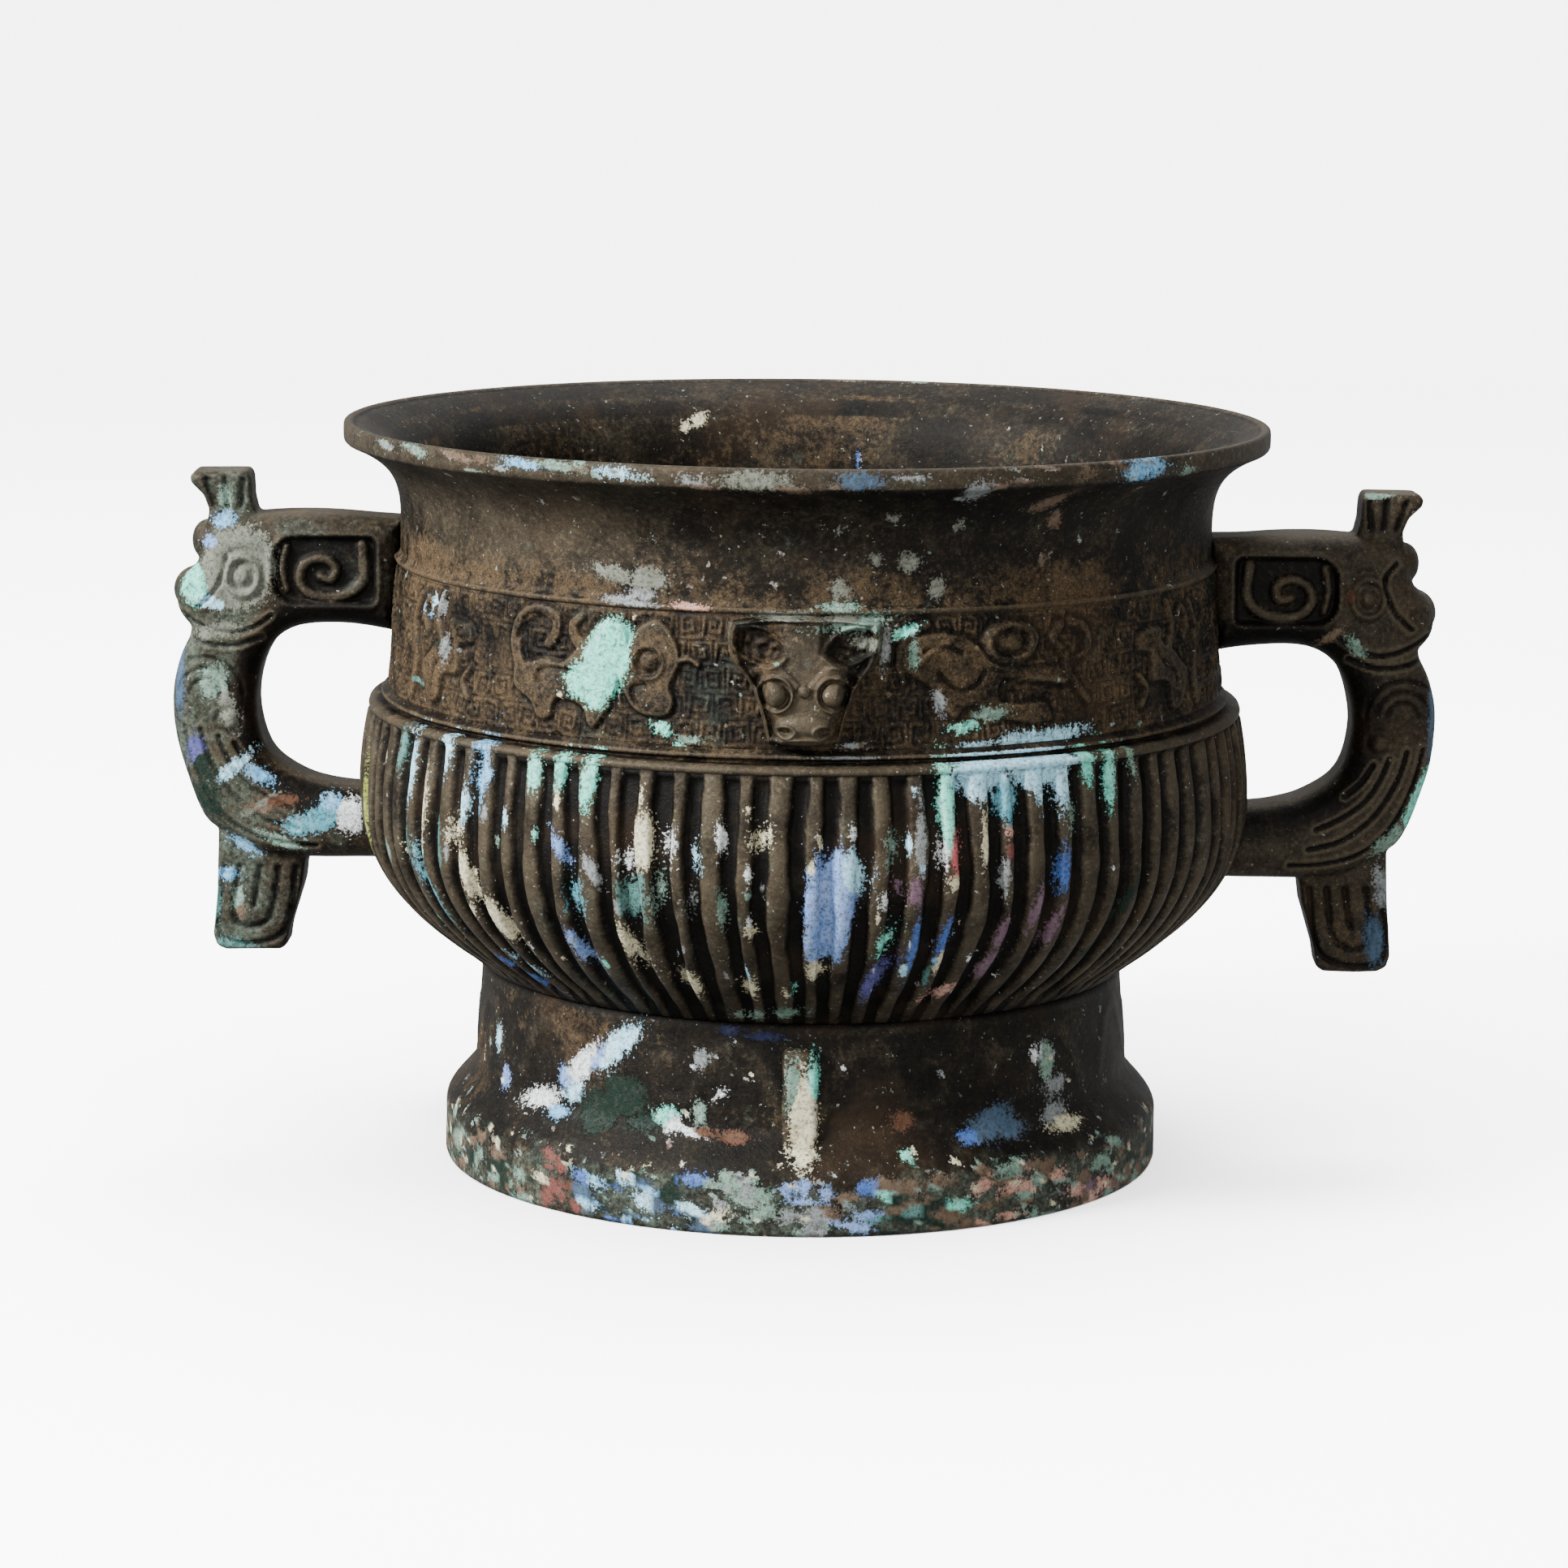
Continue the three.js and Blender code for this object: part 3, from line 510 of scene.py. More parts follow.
def all_daubs():
    lively = ["cream", "cream", "white", "mint", "ice", "sky", "sage", "grey", "teal"]
    ground = "cream white grey sage mint sky pink salmon blue green teal tan".split()
    flecks = ["cream", "white", "grey", "rust", "sage"]
    specks, small = ["cream", "grey", "sage", "tan"], (0.3, 0.8)
    smears, lip = (0.8, 3.0), (157.2, HEIGHT)
    return [
        *strewn(3, 46, (-80, 30), (50, 98), (0.4, 0.9), (0.6, 3.0), lively),
        *strewn(4, 30, (-40, 45), (50, 80), (0.3, 0.6), (0.4, 1.2), ["cream", "white", "grey"]),
        *strewn(5, 34, (95, 265), (52, 98), (0.5, 1.2), (1.0, 5.0), lively),
        *edge_daubs(),
        *strewn(9, 90, (90, 270), (0, 12), (0.8, 4.0), (0.5, 1.6), ground, 30),
        *strewn(11, 60, (-85, 80), (13, 40), (0.3, 1.0), (0.3, 1.0), flecks, 60),
        *strewn(13, 30, (-75, 45), lip, smears, small, ["tan", "grey", "sage", "tan", "tan"], 6),
        *strewn(15, 14, (95, 265), lip, smears, small, specks, 6),
        *strewn(17, 40, (-80, 80), (99.6, 134), small, small, specks, 60),
        *strewn(19, 26, (-60, 70), (134, 156), small, small, ["grey", "sage", "tan"], 60),
        *DAUBS,
    ]


def finish_surface(obj, relief, daubs, earth, verdigris):
    """Stores what the patina reads, and hands the piece to the frame."""
    reach, colour = daubs
    store(obj, "relief", np.clip(relief, 0, 1))
    store(obj, "earth", np.clip(earth, 0, 1))
    store(obj, "verdigris", np.clip(verdigris, 0, 1))
    store(obj, "paint_reach", reach)
    store(obj, "paint_colour", np.column_stack([colour, np.ones(len(colour))]))
    activate(obj)
    bpy.ops.object.shade_smooth()
    obj.data.materials.clear()
    obj.data.materials.append(bronze_material())
    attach(obj, "root")
    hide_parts("vessel")


def round_daubs(points, relief=None, spare=0.0, daubs=None):
    """Paint on the round body. Brushed paint misses the hollows by `spare`."""
    _, angle, z = round_place(points)
    spots = []
    for degrees, height, half_x, half_y, tilt, name in daubs or all_daubs():
        place = math.radians((degrees + 180) % 360 - 180) * DAUB_RADIUS
        spots.append((place, height, half_x * DAUB_RADIUS / MEASURED_RADIUS, half_y, tilt, name))
    reach, colour = paint_reach(angle * DAUB_RADIUS, z, spots)
    if relief is not None:
        reach = np.where(reach > -0.9, reach - spare * (1 - relief), reach)
    return reach, colour


def earth_amount(points):
    """Earth lies thickest on the left of the band and on the foot."""
    _, angle, z = round_place(points)
    left = bump(np.degrees(angle), -62, 34)
    front_right = bump(np.degrees(angle), 25, 40)
    patch = 0.5 + 0.5 * waves(points, 4, 26)
    on_band = smoothstep(96, 104, z) * fade(134, 150, z) * (0.34 + 0.28 * left + 0.2 * front_right)
    return on_band * (0.7 + 0.5 * patch) + fade(38, 48, z) * (0.24 + 0.4 * left) * patch


# The pattern of the band.

CRESTED = {
    "plates": [
        [(-7, 20.5), (-9.5, 24), (-13.5, 25), (-16.5, 22), (-18, 17), (-16, 12), (-17, 9), (-15.5, 6),
         (-10.5, 6), (-7, 8.5), (-4.5, 15)],
        [(21.5, 13), (13.5, 15.5), (9, 15), (3.5, 20), (0.5, 23.5), (-4.5, 24.5), (-6.5, 20.5), (-5, 15),
         (-3.5, 8.5), (0, 3), (2, 3), (3, 6), (6, 7.5), (10, 7.5), (11.5, 3.5), (14.5, 3.5), (16.5, 6.5),
         (21, 9)],
    ],
    "lines": [
        (3.0, 2.2, [(19.5, 13), (21.3, 18), (20, 23), (15.5, 25.2), (11, 24), (10.6, 21), (12.5, 18.5)]),
        (2.8, 1.6, [(4, 18.6), (6, 20.5), (6.4, 23), (4.4, 24.8)]),
        (1.4, 0.9, [(-17, 17), (-20, 17.6), (-22, 16.4)]),
    ],
    "grooves": [
        [(14.5, 10.5), (14.4, 12.6), (12, 13.5), (6, 13.4), (2, 12)],
        [(20.4, 19), (18.4, 23.6), (14.6, 24), (12.4, 22)],
        [(-9, 8), (-8, 11), (-10.5, 12)],
    ],
    "ridges": [],
    "eye": (-11.4, 16.5, 3.3, 3.3),
    "height": 1.0,
}
TRUNKED = {
    "plates": [
        [(-23.5, 20), (-20, 22.5), (-14, 23), (-8.5, 21), (-4, 16.5), (4.5, 14.8), (13, 14.4), (13.5, 11.6),
         (8, 12.2), (1.5, 13.4), (-2.5, 12.8), (-2.5, 9), (2.5, 8), (8, 8), (9.5, 4.5), (5, 4), (-2.5, 5.5),
         (-9.5, 8.5), (-13, 6), (-17, 11.5), (-21, 14.5), (-23.5, 16.5)],
        [(-6.5, 21), (-4.5, 24), (0, 25), (5, 24), (7, 21), (4.6, 17.4), (0, 16), (-4, 17.4)],
    ],
    "lines": [
        (1.7, 1.3, [(-18.5, 25), (-23.5, 21.5), (-24.5, 17.5), (-23.5, 13.5)]),
        (2.0, 1.5, [(12.5, 23.5), (10.5, 20.5), (13.5, 17.5), (14.4, 13.5), (19.5, 7.5)]),
        (1.8, 1.2, [(15, 24), (19, 22.5), (20, 18.5), (17.4, 16.6)]),
    ],
    "grooves": [[(-19, 19.5), (-15, 20.5), (-11, 19)], [(-16, 15), (-12, 11.6), (-8, 12.4), (-6, 15)]],
    "ridges": [
        [(-7.5, 20), (-3, 16), (3.5, 15.3), (11.5, 15)],
        [(12.6, 12), (5.5, 12.9), (0.5, 12.4), (-1, 10.5), (1.5, 9), (3, 10.5)],
        [(-21, 16.5), (-17, 20), (-14, 21)],
    ],
    "eye": (0.3, 20.6, 5.0, 3.4),
    "height": 0.62,
}
BIRD = {
    "plates": [
        [(-1.5, 20.5), (-8, 20), (-10, 16.5), (-5, 15), (-5, 9.5), (-1.5, 9), (1.5, 8), (2.5, 3), (6.5, 3),
         (10, 9.5), (7, 12.5), (4, 15), (-0.5, 17)],
    ],
    "lines": [
        (2.2, 1.4, [(2, 15), (4, 20), (2, 25)]),
        (2.2, 1.4, [(15.5, 3), (14, 10), (16, 18), (13, 24)]),
        (1.6, 1.2, [(9, 17), (11, 20.5), (8.5, 23.5), (6.4, 21)]),
        (1.6, 1.2, [(-9, 5), (-7, 8), (-9.5, 11)]),
    ],
    "grooves": [[(5, 5), (4, 10), (0, 12.5), (-3, 16)]],
    "ridges": [],
    "eye": (-6, 17.8, 1.5, 1.5),
    "height": 0.9,
}
# Which creature stands where in a quarter of the band, as a share of its length.
PROCESSION = ((0.25, CRESTED, -1), (0.25, TRUNKED, 1), (0.63, BIRD, -1), (0.63, BIRD, 1))


def plate(x, y, corners):
    """The distance to the edge of a smooth closed shape, negative inside it."""
    line = spline([*corners, corners[0]], 4)
    distance, _ = line_distance(x, y, line)
    inside = np.zeros(x.shape, dtype=bool)
    for (ax, ay), (bx, by) in zip(line[:-1], line[1:]):
        if ay != by:
            inside ^= ((ay > y) != (by > y)) & (x < ax + (bx - ax) * (y - ay) / (by - ay))
    return np.where(inside, -distance, distance)


def creature_relief(x, y, design):
    """The height of a creature, 1 on its flat top, with its eye and its cut lines."""
    inside = np.full(x.shape, 1e9)
    for corners in design["plates"]:
        inside = np.minimum(inside, plate(x, y, corners))
    for width, end_width, points in design["lines"]:
        inside = np.minimum(inside, stroke(x, y, points, width, end_width))
    height = fade(-0.35, 0.35, inside) * design["height"]
    height *= 0.84 + 0.16 * smoothstep(0.2, 1.8, -inside)
    for line in design["grooves"]:
        distance, _ = line_distance(x, y, spline(line))
        height -= 0.6 * fade(0.25, 0.75, distance)
    for line in design["ridges"]:
        distance, _ = line_distance(x, y, spline(line))
        height += 0.55 * fade(0.25, 0.8, distance)
    ex, ey, rx, ry = design["eye"]
    ring = np.hypot((x - ex) / rx, (y - ey) / ry)
    height += 0.5 * bump(ring, 1, 0.15) - 0.55 * bump(ring, 0.7, 0.15)
    height += 0.45 * fade(0.1, 0.5, ring)
    return height, inside


def square_spirals(x, y):
    """A ground of square spirals, 1 on the lines and 0 between them."""
    row = np.floor(y / SPIRAL_TILE)
    x = x + row * SPIRAL_TILE / 2
    column = np.floor(x / SPIRAL_TILE)
    u, v = (x / SPIRAL_TILE - column - 0.5) * SPIRAL_TILE, (y / SPIRAL_TILE - row - 0.5) * SPIRAL_TILE
    u = np.where(column % 2 == 0, u, -u)
    square = np.maximum(np.abs(u), np.abs(v))
    turn = np.arctan2(v, u) / (2 * math.pi)
    return 0.5 + 0.5 * np.cos(2 * math.pi * (square / SPIRAL_PITCH - turn))


def band_relief(points):
    """Height over the band in millimetres and the share of relief, at every point of its face."""
    _, angle, z = round_place(points)
    y = z - BAND_FOOT
    worn = np.clip(0.66 + 0.42 * waves(points, 21, 14), 0.1, 1)
    behind = np.abs(angle) > math.pi / 2
    ground = square_spirals(angle * BAND_RADIUS, y - 0.4) * worn * np.where(behind, 0.6, 1.0)
    height = ground * settings().ground_height / MM * smoothstep(0, 0.9, y) * fade(25.6, 26.6, y)
    depth = settings().relief_height / MM
    share = 0.05 + 0.5 * ground
    first = math.asin(MASK_ROOM / BAND_RADIUS)
    last = math.pi / 2 - math.asin(HANDLE_ROOM / BAND_RADIUS)
    for turn in (0, math.pi):
        for place, design, side in PROCESSION:
            centre = first + (last - first) * place
            x = turn_between(angle, turn + side * centre) * BAND_RADIUS * side
            near = np.flatnonzero(np.abs(x) < CREATURE_REACH)
            if not len(near):
                continue
            body, inside = creature_relief(x[near], y[near], design)
            calm = smoothstep(-0.1, 0.9, inside)
            mixed = height[near] * calm + body * depth * (1 - calm * (body < 0.05))
            outline = bump(inside, 0.75, 0.4)
            height[near] = np.where(inside < 0.9, mixed, height[near]) - 0.25 * outline
            top = np.clip(body, 0, 1) * (0.5 + 0.5 * bump(inside, -0.5, 0.35))
            share[near] = np.maximum(share[near] * calm, top) - 0.3 * outline
    return height, share


# The pieces.

FOOT_SCROLL = [(-14, 26), (-9, 36), (-2, 37.5), (2, 31), (6, 25.5), (12, 27.5), (12.6, 34), (8.4, 34.6)]


class GUI_OT_body(Operator):
    """Spin the foot, the neck, the lip and the inside of the vessel"""
    bl_idname = "gui_vessel.body"
    bl_label = "Body"

    def execute(self, context):
        outline = [*self.foot(), *self.middle(), *self.mouth(), *self.inside()]
        obj = spun("vessel_body", outline, BODY_COLUMNS)
        points = points_of(obj)
        r, angle, z = round_place(points)
        outside = (r > 66.5) & (z < FOOT_TOP) | (z > BAND_TOP)
        uneven = 0.22 * waves(points, 31, 46) * smoothstep(2, 8, z) * fade(150, 156, z)
        scrolls = self.scrolls(angle, z) * ((z < 41) & (z > STEP_TOP) & (r > 69.5))
        r = np.where(outside, r + np.minimum(uneven, 0.1), r) + 0.22 * scrolls
        points = from_round(r, angle, z)
        set_points(obj, points)

        # The bowl and the throat, without the plain outside of the neck.
        inner = (z > 37.9) & (r < np.minimum(99, throat_radius(z) + 8)) & (r < crest_radius(z) - 3)
        inner &= ~((z > 130) & (z < 157) & (r > NECK_RADIUS - 0.5))
        verdigris = 0.14 + 0.1 * waves(points, 19, 30) + 0.42 * fade(9, 16, z) * (r > 60)
        earth = np.where(inner, 0.26 + 0.2 * waves(points, 17, 30), earth_amount(points))
        finish_surface(obj, self.wear_and_painted_light(points, scrolls, inner), self.paint(points, inner), earth, verdigris)
        return {"FINISHED"}

    def foot(self):
        """From the middle of the hollow under the bowl, over the edge it stands on, up to the belly."""
        step, inner = STEP_TOP - STEP_FOOT, FOOT_RADIUS - FOOT_WALL
        line = [(r, float(bowl_height(r)) - 3.8 - 0.7 * (r / 66) ** 2) for r in np.linspace(0, 64.5, 16)]
        line += [(65.6, 40.2), (66, 38.2), (inner - FOOT_SPREAD, STEP_TOP)]
        for t in np.linspace(0.1, 1, 9):
            line.append((inner - FOOT_SPREAD * float(fade(0, 1, t)), STEP_TOP - step * t))
        line += [(inner, 1.2), (inner + 0.5, 0.2), (inner + 1, 0)]
        line += [(FOOT_RADIUS - 1, 0), (FOOT_RADIUS - 0.3, 0.25), (FOOT_RADIUS, 1.0)]
        line += resampled([(FOOT_RADIUS, 1.6), (FOOT_RADIUS, STEP_FOOT)], 0.9)
        for t in np.linspace(0.06, 1, 16):
            line.append((FOOT_RADIUS - FOOT_SPREAD * float(smoothstep(0, 1, t)), STEP_FOOT + step * t))
        return line + resampled([(71.6, 22.8), (70.2, 42.0), (69.9, 42.8), (69.0, 43.5)], 0.9)[1:]

    def middle(self):
        """Behind the ribs, round the rings over them, behind the band and over its ridge."""
        bed = [(float(behind_ribs(z, 0.4)), z) for z in (46, 50, 55, 61, 68, 75, 82, 90, 98.2)]
        rings = rounded([
            (94.3, 99.3), (95.0, 99.8), (94.6, 101.1), (91.4, 101.4), (90.9, 101.7), (91.3, 102.0),
            (92.1, 102.3), (92.1, 103.1), (90.9, 103.7), (90.2, 104.1), (89.4, 104.6),
        ], 1)
        ridge = rounded([
            (88.0, 130.9), (88.8, 131.1), (89.2, 131.6), (89.1, 132.2), (88.3, 132.7), (NECK_RADIUS, 133.6),
        ], 1)
        return [*bed, (93.4, 99.0), *rings, (88.2, 110), (87.2, 122), (86.4, 130.4), *ridge]

    def mouth(self):
        """Up the neck, round the lip and down the throat."""
        rise = NECK_TOP - BAND_TOP
        heights = BAND_TOP + rise * np.concatenate([np.linspace(0.07, 0.7, 18), np.linspace(0.72, 0.98, 16)])
        neck = [(float(neck_radius(z)), float(z)) for z in heights]
        lip = rounded([
            (99.0, 156.7), (99.7, 157.0), (100.0, 157.7), (100.0, 160.4), (99.8, 161.1), (99.1, HEIGHT),
            (98.3, 161.3), (97.4, 160.6),
        ], 1)
        down = BAND_TOP + (HEIGHT - BAND_TOP) * np.array([*np.linspace(0.97, 0.6, 18), 0.5, 0.4, 0.28, 0.14])
        return [*neck, *lip, *[(float(throat_radius(z)), float(z)) for z in down]]

    def inside(self):
        """Down the side of the bowl and over its floor to the middle."""
        line = [(float(bowl_radius(z)), z) for z in np.linspace(BAND_TOP, 82, 14)]
        for a in np.linspace(0, 1, 32)[:-1]:
            r = BOWL_RADIUS * math.cos(a * math.pi / 2) ** (2 / BOWL_ROUNDNESS)
            line.append((r, float(bowl_height(r))))
        return [*line, (0, BELLY_WIDE - BOWL_DEPTH)]

    def wear_and_painted_light(self, points, scrolls, inner):
        """Rings and edges worn bright, painted shade in the lines beside them, a painted highlight on the
        neck at the left.
        """
        r, angle, z = round_place(points)
        degrees = np.degrees(angle)
        wear_and_painted_light = 0.34 + 0.12 * waves(points, 33, 18) + 0.2 * scrolls - 0.11 * ((z > 12) & (z < 41))
        # Painted highlight: the neck at the left is made lighter where it faces the light.
        wear_and_painted_light += 0.36 * bump(degrees, -44, 26) * smoothstep(134, 138, z)
        # Worn rings and lip. The groove between the rings (0.05) and the joint under the belly (0.06) are
        # painted shade.
        for low, high, least_radius, value in (
            (99, 101.2, 0, 0.85), (102.2, 103.2, 0, 0.85), (131, 132.3, 0, 0.85), (101.3, 102, 88, 0.05),
            (42.2, 46, 66, 0.06), (157.2, 162, 98, 0.7),
        ):
            wear_and_painted_light = np.where((z > low) & (z < high) & (r > least_radius), value, wear_and_painted_light)
        far_right = bump(degrees, 125, 40)
        return np.where(inner, 0.40 + 0.18 * waves(points, 15, 22) - 0.22 * far_right, wear_and_painted_light)

    def paint(self, points, inner):
        """The daubs outside, and the few in the throat."""
        r, _, z = round_place(points)
        reach, colour = round_daubs(points)
        reach = np.where(inner | (r < 68), -1, reach)
        throat = (z > BAND_TOP) & (r < neck_radius(z) - 1.2)
        throat_reach, throat_colour = round_daubs(points, daubs=INSIDE_DAUBS)
        return np.where(throat, throat_reach, reach), np.where(throat[:, None], throat_colour, colour)

    def scrolls(self, angle, z):
        """The worn scrolls on the wall of the foot, every second one turned round."""
        height = np.zeros(len(angle))
        for number in range(SCROLL_COUNT):
            turn = 2 * math.pi * (number + 0.5) / SCROLL_COUNT
            x = turn_between(angle, turn) * SCROLL_RADIUS * (-1) ** number
            near = np.flatnonzero(np.abs(x) < 18)
            if len(near):
                edge = stroke(x[near], z[near], FOOT_SCROLL, 3.0, 2.0)
                height[near] = np.maximum(height[near], fade(-0.5, 0.7, edge))
        return height


class GUI_OT_belly(Operator):
    """Spin the belly and cut its ribs"""
    bl_idname = "gui_vessel.belly"
    bl_label = "Ribbed belly"

    def execute(self, context):
        s = settings()
        t = np.linspace(0, 1, BELLY_ROWS)
        heights = FOOT_TOP - 0.2 + (FLUTE_TOP + 0.3 - FOOT_TOP) * (0.62 * t + 0.38 * t ** 2)
        front = [(float(crest_radius(z)), float(z)) for z in heights]
        back = [(float(behind_ribs(z, 0.8)), z) for z in (99.0, 82, 68, 55, 47)] + [(67, 44.2)]
        obj = spun("vessel_belly", [*front, *back], s.rib_count * COLUMNS_PER_RIB)
        points = points_of(obj)
        r, angle, z = round_place(points)
        face = r > crest_radius(z) - 0.6
        groove, crest_change = self.ribs(angle, z, s.rib_count)
        tall = BELLY_WIDE - FOOT_TOP
        share = np.clip((BELLY_WIDE - z) / tall, 0, 1)
        slope = BELLY_DRAWN_IN * BELLY_FULLNESS / tall * share ** (BELLY_FULLNESS - 1)
        depth = s.rib_depth / MM * np.clip(r / 90, 0, 1) ** 1.4
        ends = smoothstep(FOOT_TOP, FOOT_TOP + 3.5, z) * fade(FLUTE_TOP - 1.6, FLUTE_TOP - 0.1, z)
        down = groove * depth * ends + crest_change * ends
        length = np.hypot(1, slope)
        dented = 0.16 * (waves(points, 41, 30) - 1) * ends
        move = np.where(face, -down + dented, 0)
        tuck = np.where(face, 0.5 * fade(FLUTE_TOP - 0.9, FLUTE_TOP + 0.3, z) - 0.5, 0)
        points = from_round(r + move / length + tuck, angle, z - move * slope / length)
        set_points(obj, points)
        relief = np.clip(0.96 - 1.2 * groove - 0.25 * (1 - ends), 0, 1)
        relief *= 0.82 + 0.26 * waves(points, 43, 11)
        daubs = round_daubs(points, relief, 0.62)
        verdigris = 0.16 + 0.2 * waves(points, 45, 24) * relief
        finish_surface(obj, relief, daubs, earth_amount(points) * 0.35, verdigris)
        return {"FINISHED"}

    def ribs(self, angle, z, count):
        """How deep in a groove each point is, from 0 to 1, and the unevenness of the crests."""
        rng = np.random.default_rng(47)
        widths = 1 + 0.13 * np.where(np.arange(count) % 2 == 0, 1, -1) + rng.normal(size=count) * 0.07
        edges = np.concatenate([[0], np.cumsum(widths)]) / widths.sum()
        wander = 0.0035 * np.sin(z / 9 + angle * 7) + 0.002 * np.sin(z / 4.3 + angle * 17)
        around = ((angle + wander) / (2 * math.pi) + 0.5) % 1
        index = np.clip(np.searchsorted(edges, around, side="right") - 1, 0, count - 1)
        across = (around - edges[index]) / (edges[index + 1] - edges[index])
        crest = rng.uniform(0.26, 0.46, count)[index]
        crest += 0.06 * np.sin(z / 3.7 + index * 2.3) + 0.03 * np.sin(z / 1.3 + index)
        from_middle = np.abs(across - 0.5) * 2
        groove = smoothstep(crest, crest + 0.3, from_middle)
        round_crest = 0.5 * (from_middle / 0.6) ** 2 * (1 - groove)
        heights = rng.uniform(0, 0.4, count)[index]
        return groove, round_crest + heights * (1 - groove)


class GUI_OT_band(Operator):
    """Spin the two halves of the band and raise the creatures on it"""
    bl_idname = "gui_vessel.band"
    bl_label = "Dragon band"

    def execute(self, context):
        for name, start, columns, rows in (
            ("vessel_band_front", -math.pi, 1380, 66),
            ("vessel_band_back", 0.0, 800, 50),
        ):
            heights = np.linspace(BAND_FOOT - 0.3, BAND_TOP - 1.2, rows)
            front = [(float(band_radius(z)), float(z)) for z in heights]
            back = [(float(bowl_radius(z)) + 0.9, z) for z in np.linspace(heights[-1], heights[0], 4)]
            obj = spun(name, [*front, *back], columns, start, math.pi)
            points = points_of(obj)
            r, angle, z = round_place(points)
            face = r > band_radius(z) - 0.5
            height, share = band_relief(points)
            height = np.where(face, height, 0)
            dented = np.where(face, 0.12 * (waves(points, 51, 22) - 0.6), 0)
            points = from_round(r + height + dented, angle, z)
            set_points(obj, points)
            # The band is made lighter about 62 degrees to the right of the front.
            lighter_to_the_right = 0.12 * bump(np.degrees(angle), 62, 22)
            relief = np.where(face, share * (0.95 + 0.28 * waves(points, 53, 12)) + lighter_to_the_right, 0.2)
            daubs = round_daubs(points, relief, 0.25)
            verdigris = 0.12 + 0.16 * waves(points, 55, 20)
            finish_surface(obj, relief, daubs, earth_amount(points), verdigris)
        return {"FINISHED"}


class GUI_OT_masks(Operator):
    """Make the horned face at the front and the one at the back"""
    bl_idname = "gui_vessel.masks"
    bl_label = "Beast masks"

    def execute(self, context):
        self.mask("mask_front", 1, 150)
        self.mask("mask_back", -1, 110)
        return {"FINISHED"}

    def mask(self, name, side, columns):
        deselect_all()
        bpy.ops.mesh.primitive_grid_add(x_subdivisions=columns, y_subdivisions=round(columns * 0.9), size=1)
        obj = bpy.context.object
        obj.name = obj.data.name = name
        up = {"value": (0, 0, 1)}
        in_edit_mode(obj, lambda: bpy.ops.mesh.extrude_region_move(TRANSFORM_OT_translate=up))
        flat = points_of(obj) * MM
        u, v = flat[:, 0] * 2, flat[:, 1] + 0.5
        front = flat[:, 2] > 0.5
        x = u * self.half_width(v)
        top = 0.9 * (np.abs(u) ** 3) - 0.5 * (1 - u * u)
        y = MASK_FOOT + MASK_HEIGHT * v - top * v ** 6
        height = self.face(x, y, u, v)
        within_wall = np.sqrt((bowl_radius(y) + 0.9) ** 2 - x * x)
        out = np.where(front, MASK_OUT + height - 0.006 * x * x, within_wall)
        points = np.column_stack([side * x, -side * out, y])
        set_points(obj, points)
        in_edit_mode(obj, close_and_face_out)
        points = points_of(obj)
        x, y = points[:, 0] * side, points[:, 2]
        height = np.abs(points[:, 1]) - MASK_OUT
        relief = np.clip(0.37 + 0.17 * height, 0.05, 0.95)
        edge = np.abs(np.abs(x) - self.half_width((y - MASK_FOOT) / MASK_HEIGHT))
        relief = np.where(edge < 0.9, 0.85, relief)
        earth, verdigris = 0.3 + 0.2 * waves(points, 61, 9), 0.14 + 0.2 * waves(points, 63, 8)
        finish_surface(obj, relief, round_daubs(points, relief, 0.3), earth, verdigris)

    def half_width(self, v):
        """Half the width of the plate, from its foot (0) to its top (1)."""
        shares = [0, 0.2, 0.42, 0.51, 0.58, 0.645, 0.74, 0.925, 1]
        return np.interp(v, shares, [7.2, 8.4, 10.2, 11.4, 13.0, 14.3, 15.3, 15.6, 15.2])

    def face(self, x, y, u, v):
        """The height of the face over its plate."""
        ax = np.abs(x)
        border = np.minimum(1 - np.abs(u), np.minimum(v * 1.8, (1 - v) * 5)) * 12
        height = -1.6 * fade(0, 0.9, border) ** 2
        height += 0.75 * bump(border, 1.0, 0.5)
        height -= 0.35 * bump(border, 2.1, 0.6)
        # The forehead runs down between the ears and spreads into the brows and cheeks.
        width = np.interp(y, [105, 109, 113.5, 118, 121, 124, 130], [5.8, 5.6, 7.4, 8.2, 8.4, 3.8, 4.4])
        ridge = fade(width - 1.6, width + 1.2, ax)
        height += ridge * np.interp(y, [105, 108, 112, 118, 124, 130], [2.2, 3.0, 3.2, 3.0, 2.0, 1.2])
        # Ears: shallow hollows shaped as leaves that point outwards, full of lumps.
        across, along = ax - 9.4, y - 125.4
        tilted, other = across * 0.9 + along * 0.42, along * 0.9 - across * 0.42
        ear = np.hypot(tilted / 5.6, other / 3.5)
        height += 0.7 * bump(ear, 1, 0.14) - 0.6 * fade(0.65, 0.95, ear)
        lumps = waves(np.column_stack([x, y, 0 * x]), 67, 2.4)
        height += 0.45 * np.clip(lumps, -0.6, 1) * fade(0.6, 0.9, ear)
        # Eyes bulge inside their rings, under a brow.
        eye = np.hypot(ax - 5.9, y - 115.9)
        height += np.sqrt(np.clip(1 - (eye / 2.4) ** 2, 0, 1)) * 1.9
        height += 0.8 * bump(eye, 3.5, 0.4) - 0.4 * bump(eye, 2.7, 0.3)
        brow, _ = line_distance(ax, y, spline([(1.8, 117.6), (5.0, 120.6), (9.2, 120.4), (11.0, 118.4)]))
        height += 0.5 * fade(0.3, 1.3, brow)
        height += np.sqrt(np.clip(1 - (np.hypot(x, y - 116.6) / 1.3) ** 2, 0, 1)) * 0.9
